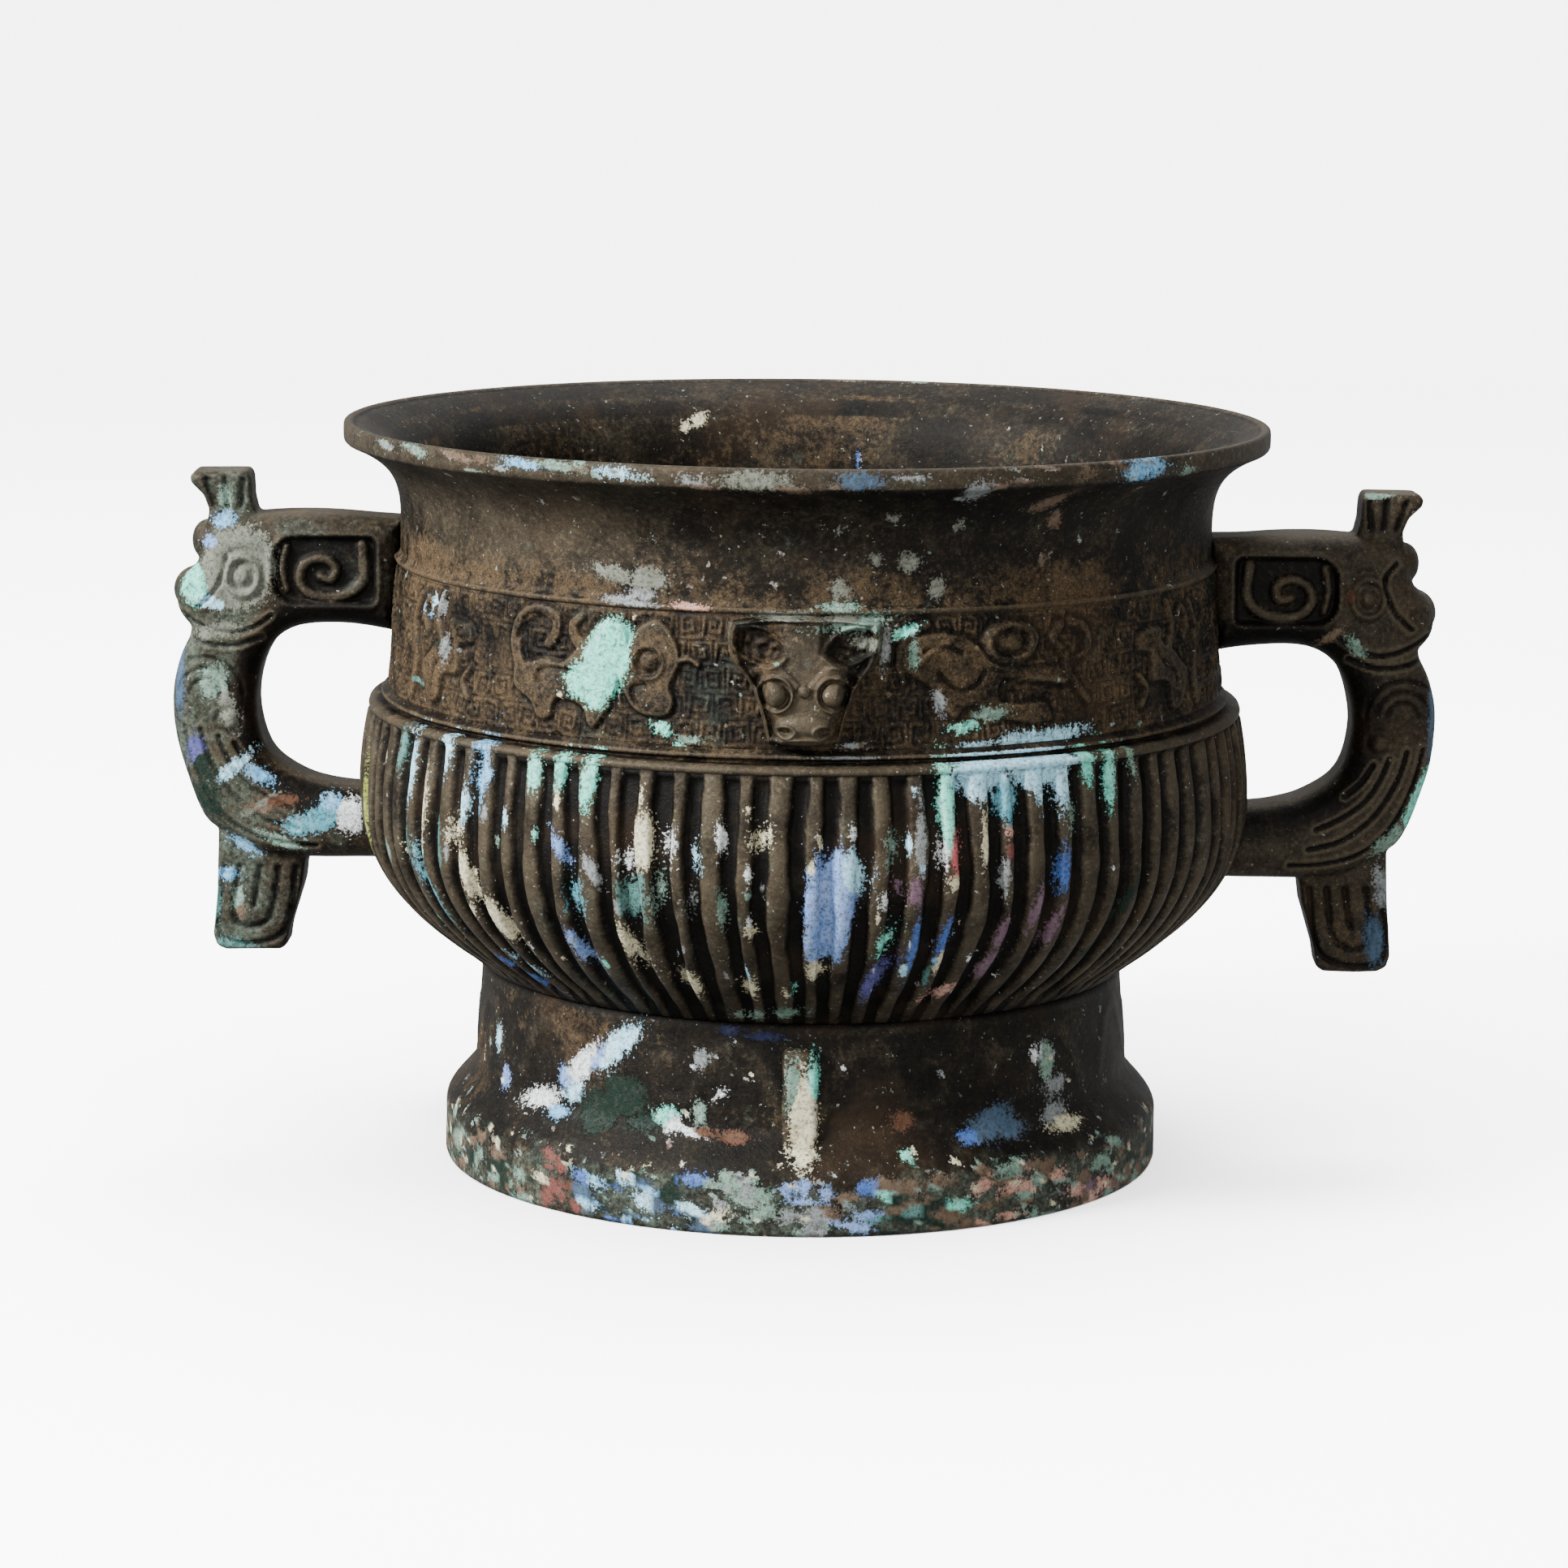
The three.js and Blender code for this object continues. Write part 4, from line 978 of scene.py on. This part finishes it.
        # The muzzle and its nostrils.
        muzzle = np.clip(1 - (x / 6.4) ** 2 - ((y - 108.7) / 3.5) ** 2, 0, 1)
        height += np.sqrt(muzzle) * 2.2
        nostril = np.hypot((ax - 3.9) / 1.5, (y - 108.6) / 0.95)
        height -= 1.6 * fade(0.45, 1.05, nostril)
        height += 0.5 * bump(nostril, 1.35, 0.25)
        mouth, _ = line_distance(ax, y, [(0, 106.5), (3.6, 106.3), (5.2, 107.2)])
        height -= 0.8 * fade(0.15, 0.6, mouth)
        return height


def shape_from_outline(name, outline, depth, bevel, segments):
    """A closed outline in millimetres, (out, up), thickened and rounded off inside its edge."""
    curve = bpy.data.curves.new(name, "CURVE")
    curve.dimensions = "2D"
    curve.fill_mode = "BOTH"
    curve.extrude = (depth / 2 - bevel) * MM
    curve.bevel_depth = bevel * MM
    curve.bevel_resolution = segments
    curve.offset = -bevel * MM
    line = curve.splines.new("POLY")
    line.points.add(len(outline) - 1)
    for point, (x, y) in zip(line.points, outline):
        point.co = (x * MM, y * MM, 0, 1)
    line.use_cyclic_u = True
    obj = bpy.data.objects.new(name, curve)
    bpy.context.collection.objects.link(obj)
    activate(obj)
    obj.rotation_euler = (math.pi / 2, 0, 0)
    bpy.ops.object.convert(target="MESH")
    bpy.ops.object.transform_apply(location=True, rotation=True, scale=True)
    obj = bpy.context.object
    in_edit_mode(obj, close_and_face_out)
    return obj


def ball(place, radii):
    deselect_all()
    bpy.ops.mesh.primitive_uv_sphere_add(segments=40, ring_count=24, location=Vector(place) * MM)
    bpy.ops.transform.resize(value=Vector(radii) * MM)
    bpy.ops.object.transform_apply(location=True, rotation=True, scale=True)
    return bpy.context.object


def melted(obj, voxel):
    """Everything in an object turned into one skin of even cells."""
    melt = obj.modifiers.new("Melt", "REMESH")
    melt.mode = "VOXEL"
    melt.voxel_size = voxel
    melt.adaptivity = 0
    bpy.ops.object.modifier_apply(modifier=melt.name)


def joined(name, pieces, voxel, smoothing):
    """Pieces melted into one skin and smoothed."""
    activate(pieces[0])
    for piece in pieces:
        piece.select_set(True)
    bpy.ops.object.join()
    obj = bpy.context.object
    obj.name = obj.data.name = name
    melted(obj, voxel)
    soften = obj.modifiers.new("Soften", "SMOOTH")
    soften.factor = 0.5
    soften.iterations = smoothing
    bpy.ops.object.modifier_apply(modifier=soften.name)
    return obj


# Lines cut into the sides of the handles, (out, up) in millimetres.
FEATHER_LINES = [
    [(134.4, 93), (132.9, 86.5), (130.4, 80.4), (126.8, 74.6), (121, 69.8), (113, 67.6), (106, 67.2)],
    [(130.8, 92.5), (129.2, 87), (126.6, 82), (122.8, 77), (117, 72.8), (110, 70.8)],
    [(127.0, 91), (125.0, 86), (121.8, 81.4), (117, 77.8), (111.6, 75.2)],
    [(123.6, 89.6), (121.0, 85.6), (117.6, 82.6)],
    [(115.4, 117.4), (119.4, 114.8), (124.6, 113.6), (130.6, 115.2), (134.6, 117.8)],
    [(117.6, 112.8), (123.8, 110.9), (130.6, 111.6), (135.0, 113.6)],
    [(127.4, 133.6), (124.8, 129.8), (127.0, 123.4), (131.0, 119.4)],
]
# Long hollows on the pendant and short ones on the horn.
HOLLOWS = [
    [(110.8, 61.5), (114.0, 46.6), (127.2, 45.8), (126.4, 61.5)],
    [(114.6, 61.5), (117.0, 49.8), (124.0, 49.4), (123.2, 61.5)],
    [(118.6, 61.5), (120.0, 53.0)],
    [(121.6, 146.4), (122.0, 140.8)],
    [(125.4, 146.6), (124.8, 140.8)],
    [(129.6, 146.4), (127.6, 140.8)],
]


class GUI_OT_handles(Operator):
    """Make the two beast handles with their horns, scrolls and pendants"""
    bl_idname = "gui_vessel.handles"
    bl_label = "Beast handles"

    def execute(self, context):
        for name, side in (("handle_right", 1), ("handle_left", -1)):
            self.handle(name, side)
        return {"FINISHED"}

    def handle(self, name, side):
        pieces = [
            shape_from_outline("loop", self.loop(), HANDLE_WIDTH, 5.6, 7),
            shape_from_outline("horn", self.horn(), HORN_WIDTH, 1.4, 3),
            shape_from_outline("pendant", self.pendant(), PENDANT_WIDTH, 1.8, 3),
            ball((REACH - 5, 0, ARM_TOP - 16.4), (5.0, 8.4, 5.0)),
            ball((REACH - 7.4, 0, ARM_TOP - 5.6), (3.4, 6.0, 4.4)),
        ]
        obj = joined(name, pieces, settings().handle_voxel, 4)
        points = points_of(obj)
        normals = normals_of(obj)
        height, relief, verdigris = self.carving(points[:, 0], points[:, 2])
        sideways = smoothstep(0.25, 0.8, np.abs(normals[:, 1]))
        points[:, 1] += np.sign(points[:, 1]) * height * sideways
        points += normals * (0.14 * waves(points, 71 + side, 14))[:, None]
        # Painted light: where the sides are not carved, faces turned up are lighter and faces turned down
        # darker.
        relief = relief * sideways + (0.3 + 0.5 * np.clip(normals[:, 2], -0.4, 1)) * (1 - sideways)
        out, up = points[:, 0].copy(), points[:, 2].copy()
        reach, colour = paint_reach(out, up, RIGHT_HANDLE_DAUBS if side > 0 else LEFT_HANDLE_DAUBS)
        reach = np.where(reach > -1, reach - 1.4 * smoothstep(-7.5, 1.5, points[:, 1] * side), -1)
        points[:, 0] *= side
        points[:, 1] *= side
        points[:, 2] -= side * HANDLE_RISE
        set_points(obj, points)
        in_edit_mode(obj, close_and_face_out)
        if side < 0:
            verdigris = 0.16 + verdigris + 0.3 * smoothstep(108, 122, out)
            relief = relief + 0.12 * smoothstep(108, 122, out)
        else:
            verdigris = verdigris * 0.2
            relief = relief * 1.2
        verdigris = verdigris + 0.16 * waves(points, 73, 12)
        earth = 0.16 + 0.16 * waves(points, 75, 15)
        finish_surface(obj, relief, (reach, colour), earth, verdigris)

    def loop(self):
        head = spline([
            (87.0, ARM_TOP), (REACH - 32, ARM_TOP + 0.9), (REACH - 20, ARM_TOP + 0.7),
            (REACH - 11, ARM_TOP - 0.8), (REACH - 7.4, ARM_TOP - 5), (REACH - 5.6, ARM_TOP - 10),
            (REACH - 2.4, ARM_TOP - 13), (REACH - 1.0, ARM_TOP - 16.4), (REACH - 1.6, ARM_TOP - 20.6),
            (REACH - 4.2, ARM_TOP - 24),
        ], 4)
        outer = spline([
            (REACH - 3.8, ARM_FOOT - 0.6), (REACH - 1.4, ARM_FOOT - 6), (REACH, LOOP_MIDDLE + 3),
            (REACH - 1.4, LOOP_MIDDLE - 9), (REACH - 6.4, LOWER_TOP - 6), (REACH - 12, LOWER_FOOT + 5),
            (REACH - 19, LOWER_FOOT + 0.8), (REACH - 27, LOWER_FOOT), (REACH - 40, LOWER_FOOT),
            (89.2, LOWER_FOOT),
        ], 4)
        return [tuple(p) for p in np.vstack([head, outer, self.inner_edge()])]

    def inner_edge(self):
        inside = REACH - 18.2
        return spline([
            (92.7, LOWER_TOP), (inside - 17, LOWER_TOP + 1), (inside - 9, LOWER_TOP + 3.4),
            (inside - 2.4, LOWER_TOP + 8.6), (inside, LOOP_MIDDLE + 2), (inside - 2.2, ARM_FOOT - 4.6),
            (inside - 8, ARM_FOOT + 1.2), (inside - 18, ARM_FOOT + 2.4), (88.0, ARM_FOOT + 0.6),
        ], 4)

    def horn(self):
        inner, top = REACH - 19, ARM_TOP + 9.8
        return [
            (inner - 0.4, ARM_TOP - 3), (inner + 11.4, ARM_TOP - 3), (inner + 10.6, ARM_TOP + 1.4),
            (inner + 11.8, ARM_TOP + 4.6), (inner + 14.6, top - 2.6), (inner + 14.9, top - 1.2),
            (inner + 13.8, top), (inner + 2.6, top + 0.1), (inner + 1.7, top - 1.2),
            (inner + 1.4, ARM_TOP + 4),
        ]

    def pendant(self):
        outer, bottom = REACH - 9.6, LOWER_FOOT - 21
        return [
            (outer - 20, LOWER_FOOT + 7), (outer, LOWER_FOOT + 7), (outer + 0.5, LOWER_FOOT - 8),
            (outer + 1.5, bottom + 3.4), (outer + 0.6, bottom + 0.9), (outer - 1.4, bottom),
            (outer - 13.4, bottom), (outer - 14.8, bottom + 1), (outer - 15.4, bottom + 5),
            (outer - 18.4, LOWER_FOOT - 6),
        ]

    def carving(self, x, z):
        """The height of the carving on the sides, the share of relief (with painted shade), and extra
        corrosion.
        """
        # Painted shade: the side towards the vessel is darkened in colour, where the handle would lie in
        # shadow.
        from_inner, _ = line_distance(x, z, self.inner_edge())
        painted_shade = fade(2.0, 8.5, from_inner)
        height, raised, on_panel = self.panel(x, z)
        relief = np.where(on_panel, 0.04 + 0.62 * raised, 0.5 - 0.5 * painted_shade)
        # The eye.
        ring = np.hypot((x - (REACH - 15.9)) / 3.4, (z - (ARM_TOP - 12.3)) / 4.1)
        height += 0.75 * bump(ring, 1, 0.17) - 0.5 * bump(ring, 0.72, 0.15)
        height += 0.7 * fade(0.2, 0.55, ring) - 0.35 * bump(ring, 1.4, 0.15)
        # The nostril.
        nostril = np.hypot(x - (REACH - 5.0), z - (ARM_TOP - 16.2))
        height += 0.4 * bump(nostril, 2.6, 0.5) - 0.5 * fade(0.8, 2.0, nostril)
        # The feathers of the wing, which is coiled about a boss.
        wx, wz = x - (REACH - 7.6), z - (LOOP_MIDDLE + 4.0)
        far, turn = np.hypot(wx, wz), np.degrees(np.arctan2(wz, wx))
        upper = smoothstep(-60, -20, turn) * fade(186, 200, turn % 360 - 360 * (turn < -90))
        for radius in (3.4, 5.8, 8.2):
            line = bump(far, radius, 0.42) * np.where(turn > -60, 1, smoothstep(-178, -150, -turn))
            feather = line * np.clip(upper + 0.15, 0, 1)
            height -= 0.65 * feather
            relief -= 0.4 * feather
        boss = np.hypot(x - (REACH - 12.6), z - (LOOP_MIDDLE - 1.6))
        height += 0.8 * fade(1.0, 2.0, boss) - 0.5 * bump(boss, 2.7, 0.4)
        for line in FEATHER_LINES:
            distance, _ = line_distance(x, z, spline(line))
            groove, beside = fade(0.65 * 0.3, 0.65, distance), bump(distance, 1.0, 0.35)
            height += 0.25 * beside - 0.5 * groove
            relief += 0.5 * beside - 0.5 * groove
        for line in HOLLOWS:
            distance, _ = line_distance(x, z, spline(line, 1 if len(line) == 2 else 6))
            hollow = fade(0.95 * 0.3, 0.95, distance)
            height -= 0.75 * hollow
            relief -= 0.45 * hollow
        relief = np.clip(relief + 0.25 * np.clip(height, 0, 1), 0.02, 1)
        # Less verdigris in the painted shade on the side towards the vessel, so that it stays dark.
        return height, relief, 0.1 * (z < 118) - 0.4 * painted_shade

    def panel(self, x, z):
        """The sunk panel of the arm: its height, its raised scroll, and which points are on it."""
        px, pz = x - (REACH - 33.6), z - (ARM_TOP - 11.0)
        corner = np.where(px > 0, 5.0, 1.6)
        over_x, over_z = np.abs(px) - 11.0 + corner, np.abs(pz) - 7.2 + corner
        beyond = np.hypot(np.maximum(over_x, 0), np.maximum(over_z, 0))
        box = beyond + np.minimum(np.maximum(over_x, over_z), 0) - corner
        sunk = fade(-0.8, 0.2, box)
        coil = stroke(px, pz, [(-8.1, 5.4), (-8.4, -1.6), (-4.4, -5.2), (2.2, -5.4), (5.4, -2.4), (4.2, 1.4),
                               (0.2, 2.6), (-2.4, 0.6), (-1.4, -1.9), (0.9, -1.4)], 2.3, 1.7)
        beside = stroke(px, pz, [(8.2, 5.0), (9.0, 0.4), (8.2, -4.4)], 1.7, 1.3)
        raised = fade(-0.4, 0.4, np.minimum(coil, beside))
        return -1.5 * sunk + 0.5 * bump(box, 0.8, 0.5) + 1.35 * raised * sunk, raised, box < 0.3


class GUI_OT_foot_bars(Operator):
    """Make the upright bars on the foot, under the masks"""
    bl_idname = "gui_vessel.foot_bars"
    bl_label = "Foot bars"

    def execute(self, context):
        for name, side in (("foot_bar_front", 1), ("foot_bar_back", -1)):
            deselect_all()
            bpy.ops.mesh.primitive_cube_add(size=1, location=Vector((0, -side * BAR_OUT, BAR_MIDDLE)) * MM)
            bpy.ops.transform.resize(value=Vector(BAR_SIZE) * MM)
            bpy.ops.object.transform_apply(location=True, rotation=True, scale=True)
            obj = bpy.context.object
            obj.name = obj.data.name = name
            bevel = obj.modifiers.new("Rounding", "BEVEL")
            bevel.width = 1.5 * MM
            bevel.segments = 5
            bpy.ops.object.modifier_apply(modifier=bevel.name)
            melted(obj, 0.45 * MM)
            points = points_of(obj)
            points += normals_of(obj) * (0.12 * waves(points, 81, 5))[:, None]
            set_points(obj, points)
            in_edit_mode(obj, close_and_face_out)
            relief, plain = 0.6 + 0.3 * waves(points, 83, 4), np.full(len(points), 0.3)
            finish_surface(obj, relief, round_daubs(points), plain, plain)
        return {"FINISHED"}


# Material.

class Nodes:
    """Adds nodes to a material, and links what is given as their inputs."""

    def __init__(self, tree):
        self.tree = tree

    def feed(self, socket, value):
        if isinstance(value, bpy.types.NodeSocket):
            self.tree.links.new(value, socket)
        else:
            socket.default_value = (*value, 1.0) if socket.type == "RGBA" else value

    def add(self, kind, inputs=None, **values):
        node = self.tree.nodes.new(kind)
        for name, value in values.items():
            setattr(node, name, value)
        for name, value in (inputs or {}).items():
            self.feed(node.inputs[name], value)
        return node

    def attribute(self, name, output="Fac"):
        return self.add("ShaderNodeAttribute", attribute_name=name).outputs[output]

    def noise(self, place, scale, detail=4.0, roughness=0.6):
        inputs = {"Vector": place, "Scale": scale, "Detail": detail, "Roughness": roughness}
        return self.add("ShaderNodeTexNoise", inputs).outputs["Fac"]

    def ramp(self, value, low, high):
        """0 at low, 1 at high and even between them."""
        inputs = {"Value": value, "From Min": low, "From Max": high, "To Min": 0.0, "To Max": 1.0}
        return self.add("ShaderNodeMapRange", inputs, clamp=True).outputs["Result"]

    def reckon(self, operation, values):
        """All the values taken together, two by two."""
        total, *others = values
        for value in others:
            node = self.add("ShaderNodeMath", operation=operation)
            self.feed(node.inputs[0], total)
            self.feed(node.inputs[1], value)
            total = node.outputs[0]
        return total

    def sum(self, *values):
        return self.reckon("ADD", values)

    def times(self, *values):
        return self.reckon("MULTIPLY", values)

    def swing(self, noise, size):
        """A noise of 0 to 1 made to swing about zero."""
        return self.times(self.sum(noise, -0.5), size)

    def mix(self, share, a, b):
        node = self.add("ShaderNodeMix", data_type="RGBA")
        for socket, value in zip((node.inputs[0], node.inputs[6], node.inputs[7]), (share, a, b)):
            self.feed(socket, value)
        return node.outputs[2]


def tinted(colour, *factors):
    """A colour made darker or lighter by one factor, or by one each for red, green and blue."""
    return tuple(a * b for a, b in zip(colour, factors if len(factors) == 3 else factors * 3))


def bronze_material():
    made = bpy.data.materials.get("patinated_bronze")
    if made:
        return made
    s = settings()
    material = bpy.data.materials.new("patinated_bronze")
    material.use_nodes = True
    tree = material.node_tree
    tree.nodes.clear()
    n = Nodes(tree)
    place = n.add("ShaderNodeTexCoord").outputs["Object"]
    relief = n.attribute("relief")
    large = n.noise(place, 38, 5)
    middle = n.noise(place, 190, 5)
    fine = n.noise(place, 900, 6, 0.7)
    grain = n.noise(place, 2600, 3, 0.6)

    # Bronze, from the dark hollows to the worn ridges; on the body and the handles the relief also carries
    # painted shade and painted highlights.
    tone = n.sum(relief, n.swing(middle, 0.9), n.swing(fine, 1.1), n.swing(grain, 0.5))
    colour = n.mix(n.ramp(tone, 0.0, 0.4), tinted(s.bronze, 0.16), s.bronze)
    colour = n.mix(n.ramp(tone, 0.36, 1.0), colour, s.worn)
    colour = n.mix(n.times(n.ramp(large, 0.54, 0.7), 0.35), colour, tinted(s.worn, 0.8, 0.56, 0.42))
    bright = n.times(n.ramp(fine, 0.56, 0.68), n.ramp(relief, 0.3, 0.85), 0.45)
    colour = n.mix(bright, colour, tinted(s.worn, 2.4, 2.4, 2.3))

    # Earth, less in the deepest lines.
    earth = n.sum(n.attribute("earth"), n.swing(middle, 1.0), n.swing(fine, 1.2))
    earthy = n.times(n.ramp(earth, 0.34, 0.74), 0.9, n.ramp(relief, -0.1, 0.3))
    soil = n.mix(n.ramp(grain, 0.35, 0.65), tinted(s.earth, 0.4), tinted(s.earth, 1.5))
    colour = n.mix(earthy, colour, soil)

    # Verdigris in blotches and specks.
    green = n.sum(n.attribute("verdigris"), n.swing(n.noise(place, 150, 6, 0.75), 1.6))
    greenish = n.times(n.ramp(green, 0.3, 0.8), 0.85, n.ramp(relief, -0.15, 0.35))
    patina = n.mix(n.ramp(fine, 0.38, 0.62), tinted(s.verdigris, 0.3), tinted(s.verdigris, 1.7))
    colour = n.mix(greenish, colour, patina)
    specks = n.times(n.ramp(n.noise(place, 800, 2, 0.5), 0.7, 0.75), n.ramp(relief, 0.0, 0.4), 0.5)
    colour = n.mix(specks, colour, (0.30, 0.31, 0.26))

    # Paint, with ragged edges, dry streaks and scattered specks round it.
    drawn_out = n.add("ShaderNodeMapping", {"Vector": place, "Scale": (1.0, 1.0, 0.22)}).outputs["Vector"]
    daubed = n.attribute("paint_reach")
    reach = n.sum(
        daubed, n.swing(n.noise(place, 330, 7, 0.74), 2.4), n.swing(grain, 1.5),
        n.swing(n.noise(drawn_out, 900, 4, 0.6), 1.5))
    worn_through = n.ramp(n.noise(place, 1300, 4, 0.7), 0.36, 0.46)
    solid = n.ramp(reach, 0.60 - s.paint_cover, 0.86 - s.paint_cover)
    solid = n.times(solid, n.sum(0.35, n.times(worn_through, 0.65)))
    spatter = n.sum(daubed, n.swing(n.noise(place, 1500, 3, 0.5), 5.0))
    cover = n.reckon("MAXIMUM", [solid, n.times(n.ramp(spatter, 0.16, 0.3), 0.6)])
    paint = n.attribute("paint_colour", "Color")
    streaks = n.times(n.ramp(n.noise(drawn_out, 420, 5), 0.42, 0.66), n.ramp(paint, 0.02, 0.3), 0.2)
    streaked = n.mix(streaks, paint, (0.62, 0.66, 0.62))
    streaked = n.mix(n.times(n.ramp(fine, 0.5, 0.36), 0.6), streaked, (0.03, 0.028, 0.02))
    colour = n.mix(cover, colour, streaked)

    crust = n.sum(earthy, greenish)
    rough = n.sum(0.42, n.times(middle, 0.3), n.times(crust, 0.25))
    metal = n.sum(0.4, n.times(n.sum(crust, n.times(cover, 3.0)), -0.5))
    lumps = n.sum(n.times(fine, 0.6), n.times(middle, 0.6), n.times(cover, 0.6), n.times(grain, 0.35))
    raised = n.add("ShaderNodeBump", {"Height": lumps, "Strength": 0.7, "Distance": 0.4 * MM})
    shader = n.add("ShaderNodeBsdfPrincipled", {
        "Base Color": colour, "Roughness": n.ramp(rough, 0.0, 1.0), "Metallic": n.ramp(metal, 0.0, 1.0),
        "Normal": raised.outputs["Normal"], "IOR": 1.5, "Specular IOR Level": 0.14,
    })
    out = n.add("ShaderNodeOutputMaterial")
    tree.links.new(shader.outputs["BSDF"], out.inputs["Surface"])
    return material


# Stage, in metres. The camera is fitted to four circles seen in the photo.

FLAT_FLOOR, FLOOR_RISE = 1.9, 0.4
CAMERA_PLACE, CAMERA_AIM, CAMERA_ROLL = (0, -1.0279, 0.2621), (0, 0, 0.08127), 0.0105
CAMERA_LENS, CAMERA_SHIFT = 109.24, -0.01247


class GUI_OT_stage(Operator):
    """Lay the pale floor, set the soft lights and place the camera"""
    bl_idname = "gui_vessel.stage"
    bl_label = "Stage"

    def execute(self, context):
        deselect_all()
        bpy.ops.mesh.primitive_grid_add(x_subdivisions=100, y_subdivisions=100, size=9)
        floor = context.object
        floor.name = floor.data.name = "floor"
        points = points_of(floor) * MM
        points[:, 2] = FLOOR_RISE * np.clip(np.hypot(points[:, 0], points[:, 1]) - FLAT_FLOOR, 0, 3.2) ** 2
        set_points(floor, points / MM)
        bpy.ops.object.shade_smooth()
        material = bpy.data.materials.new("pale_floor")
        material.use_nodes = True
        shader = material.node_tree.nodes["Principled BSDF"]
        shader.inputs["Base Color"].default_value = (0.92, 0.92, 0.92, 1)
        shader.inputs["Roughness"].default_value = 0.8
        floor.data.materials.append(material)
        # The floor stays out of what lights the vessel, so that its right side falls dark.
        floor.visible_diffuse = False
        floor.visible_glossy = False
        self.light("key", (-1.2, -0.7, 1.0), (0, 0, 0.09), size=0.5, power=112.0)
        self.light("fill", (0.2, -1.5, 0.5), (0, 0, 0.08), size=1.0, power=14.0)
        self.light("top", (0.1, 0.5, 1.25), (0, 0, 0.12), size=0.6, power=12.0)
        over_floor = self.light("over_floor", (0, 0, 3.4), (0, 0, 0), size=6.0, power=1500.0)
        lit = bpy.data.collections.new("lit_by_over_floor")
        lit.objects.link(floor)
        over_floor.light_linking.receiver_collection = lit
        world = context.scene.world or bpy.data.worlds.new("World")
        context.scene.world = world
        world.use_nodes = True
        background = world.node_tree.nodes["Background"]
        background.inputs["Color"].default_value = (1, 1, 1, 1)
        background.inputs["Strength"].default_value = 0.7
        self.camera(context)
        return {"FINISHED"}

    def light(self, name, place, aim, size, power):
        bpy.ops.object.light_add(type="AREA", location=place)
        light = bpy.context.object
        light.name = light.data.name = name
        light.data.size = size
        light.data.energy = power
        light.rotation_euler = (Vector(aim) - Vector(place)).to_track_quat("-Z", "Y").to_euler()
        light.visible_camera = False
        return light

    def camera(self, context):
        place, aim = Vector(CAMERA_PLACE), Vector(CAMERA_AIM)
        bpy.ops.object.camera_add(location=place)
        camera = context.object
        camera.name = "camera"
        look = (aim - place).to_track_quat("-Z", "Y")
        camera.rotation_euler = (look.to_matrix() @ Euler((0, 0, CAMERA_ROLL)).to_matrix()).to_euler()
        camera.data.sensor_width = 36
        camera.data.lens = CAMERA_LENS
        camera.data.shift_x = CAMERA_SHIFT
        camera.data.clip_start = 0.05
        camera.data.clip_end = 20
        context.scene.camera = camera


class GUI_PT_panel(Panel):
    """Lists the pieces and the sizes and colours to change"""
    bl_idname = "GUI_PT_panel"
    bl_label = "Bronze gui vessel"
    bl_space_type = "VIEW_3D"
    bl_region_type = "UI"
    bl_category = "Gui vessel"

    def draw(self, context):
        column = self.layout.column()
        for name in VesselSettings.__annotations__:
            column.prop(context.scene.gui_vessel, name)
        for operator in OPERATORS:
            column.operator(operator.bl_idname)


OPERATORS = (
    GUI_OT_body, GUI_OT_belly, GUI_OT_band, GUI_OT_masks, GUI_OT_handles, GUI_OT_foot_bars, GUI_OT_stage,
)
CLASSES = (VesselSettings, *OPERATORS, GUI_PT_panel)


def register():
    for cls in CLASSES:
        bpy.utils.register_class(cls)
    bpy.types.Scene.gui_vessel = PointerProperty(type=VesselSettings)


def unregister():
    del bpy.types.Scene.gui_vessel
    for cls in reversed(CLASSES):
        bpy.utils.unregister_class(cls)


def main():
    register()
    bpy.ops.gui_vessel.body()
    bpy.ops.gui_vessel.belly()
    bpy.ops.gui_vessel.band()
    bpy.ops.gui_vessel.masks()
    bpy.ops.gui_vessel.handles()
    bpy.ops.gui_vessel.foot_bars()
    bpy.ops.gui_vessel.stage()


if __name__ == "__main__":
    main()
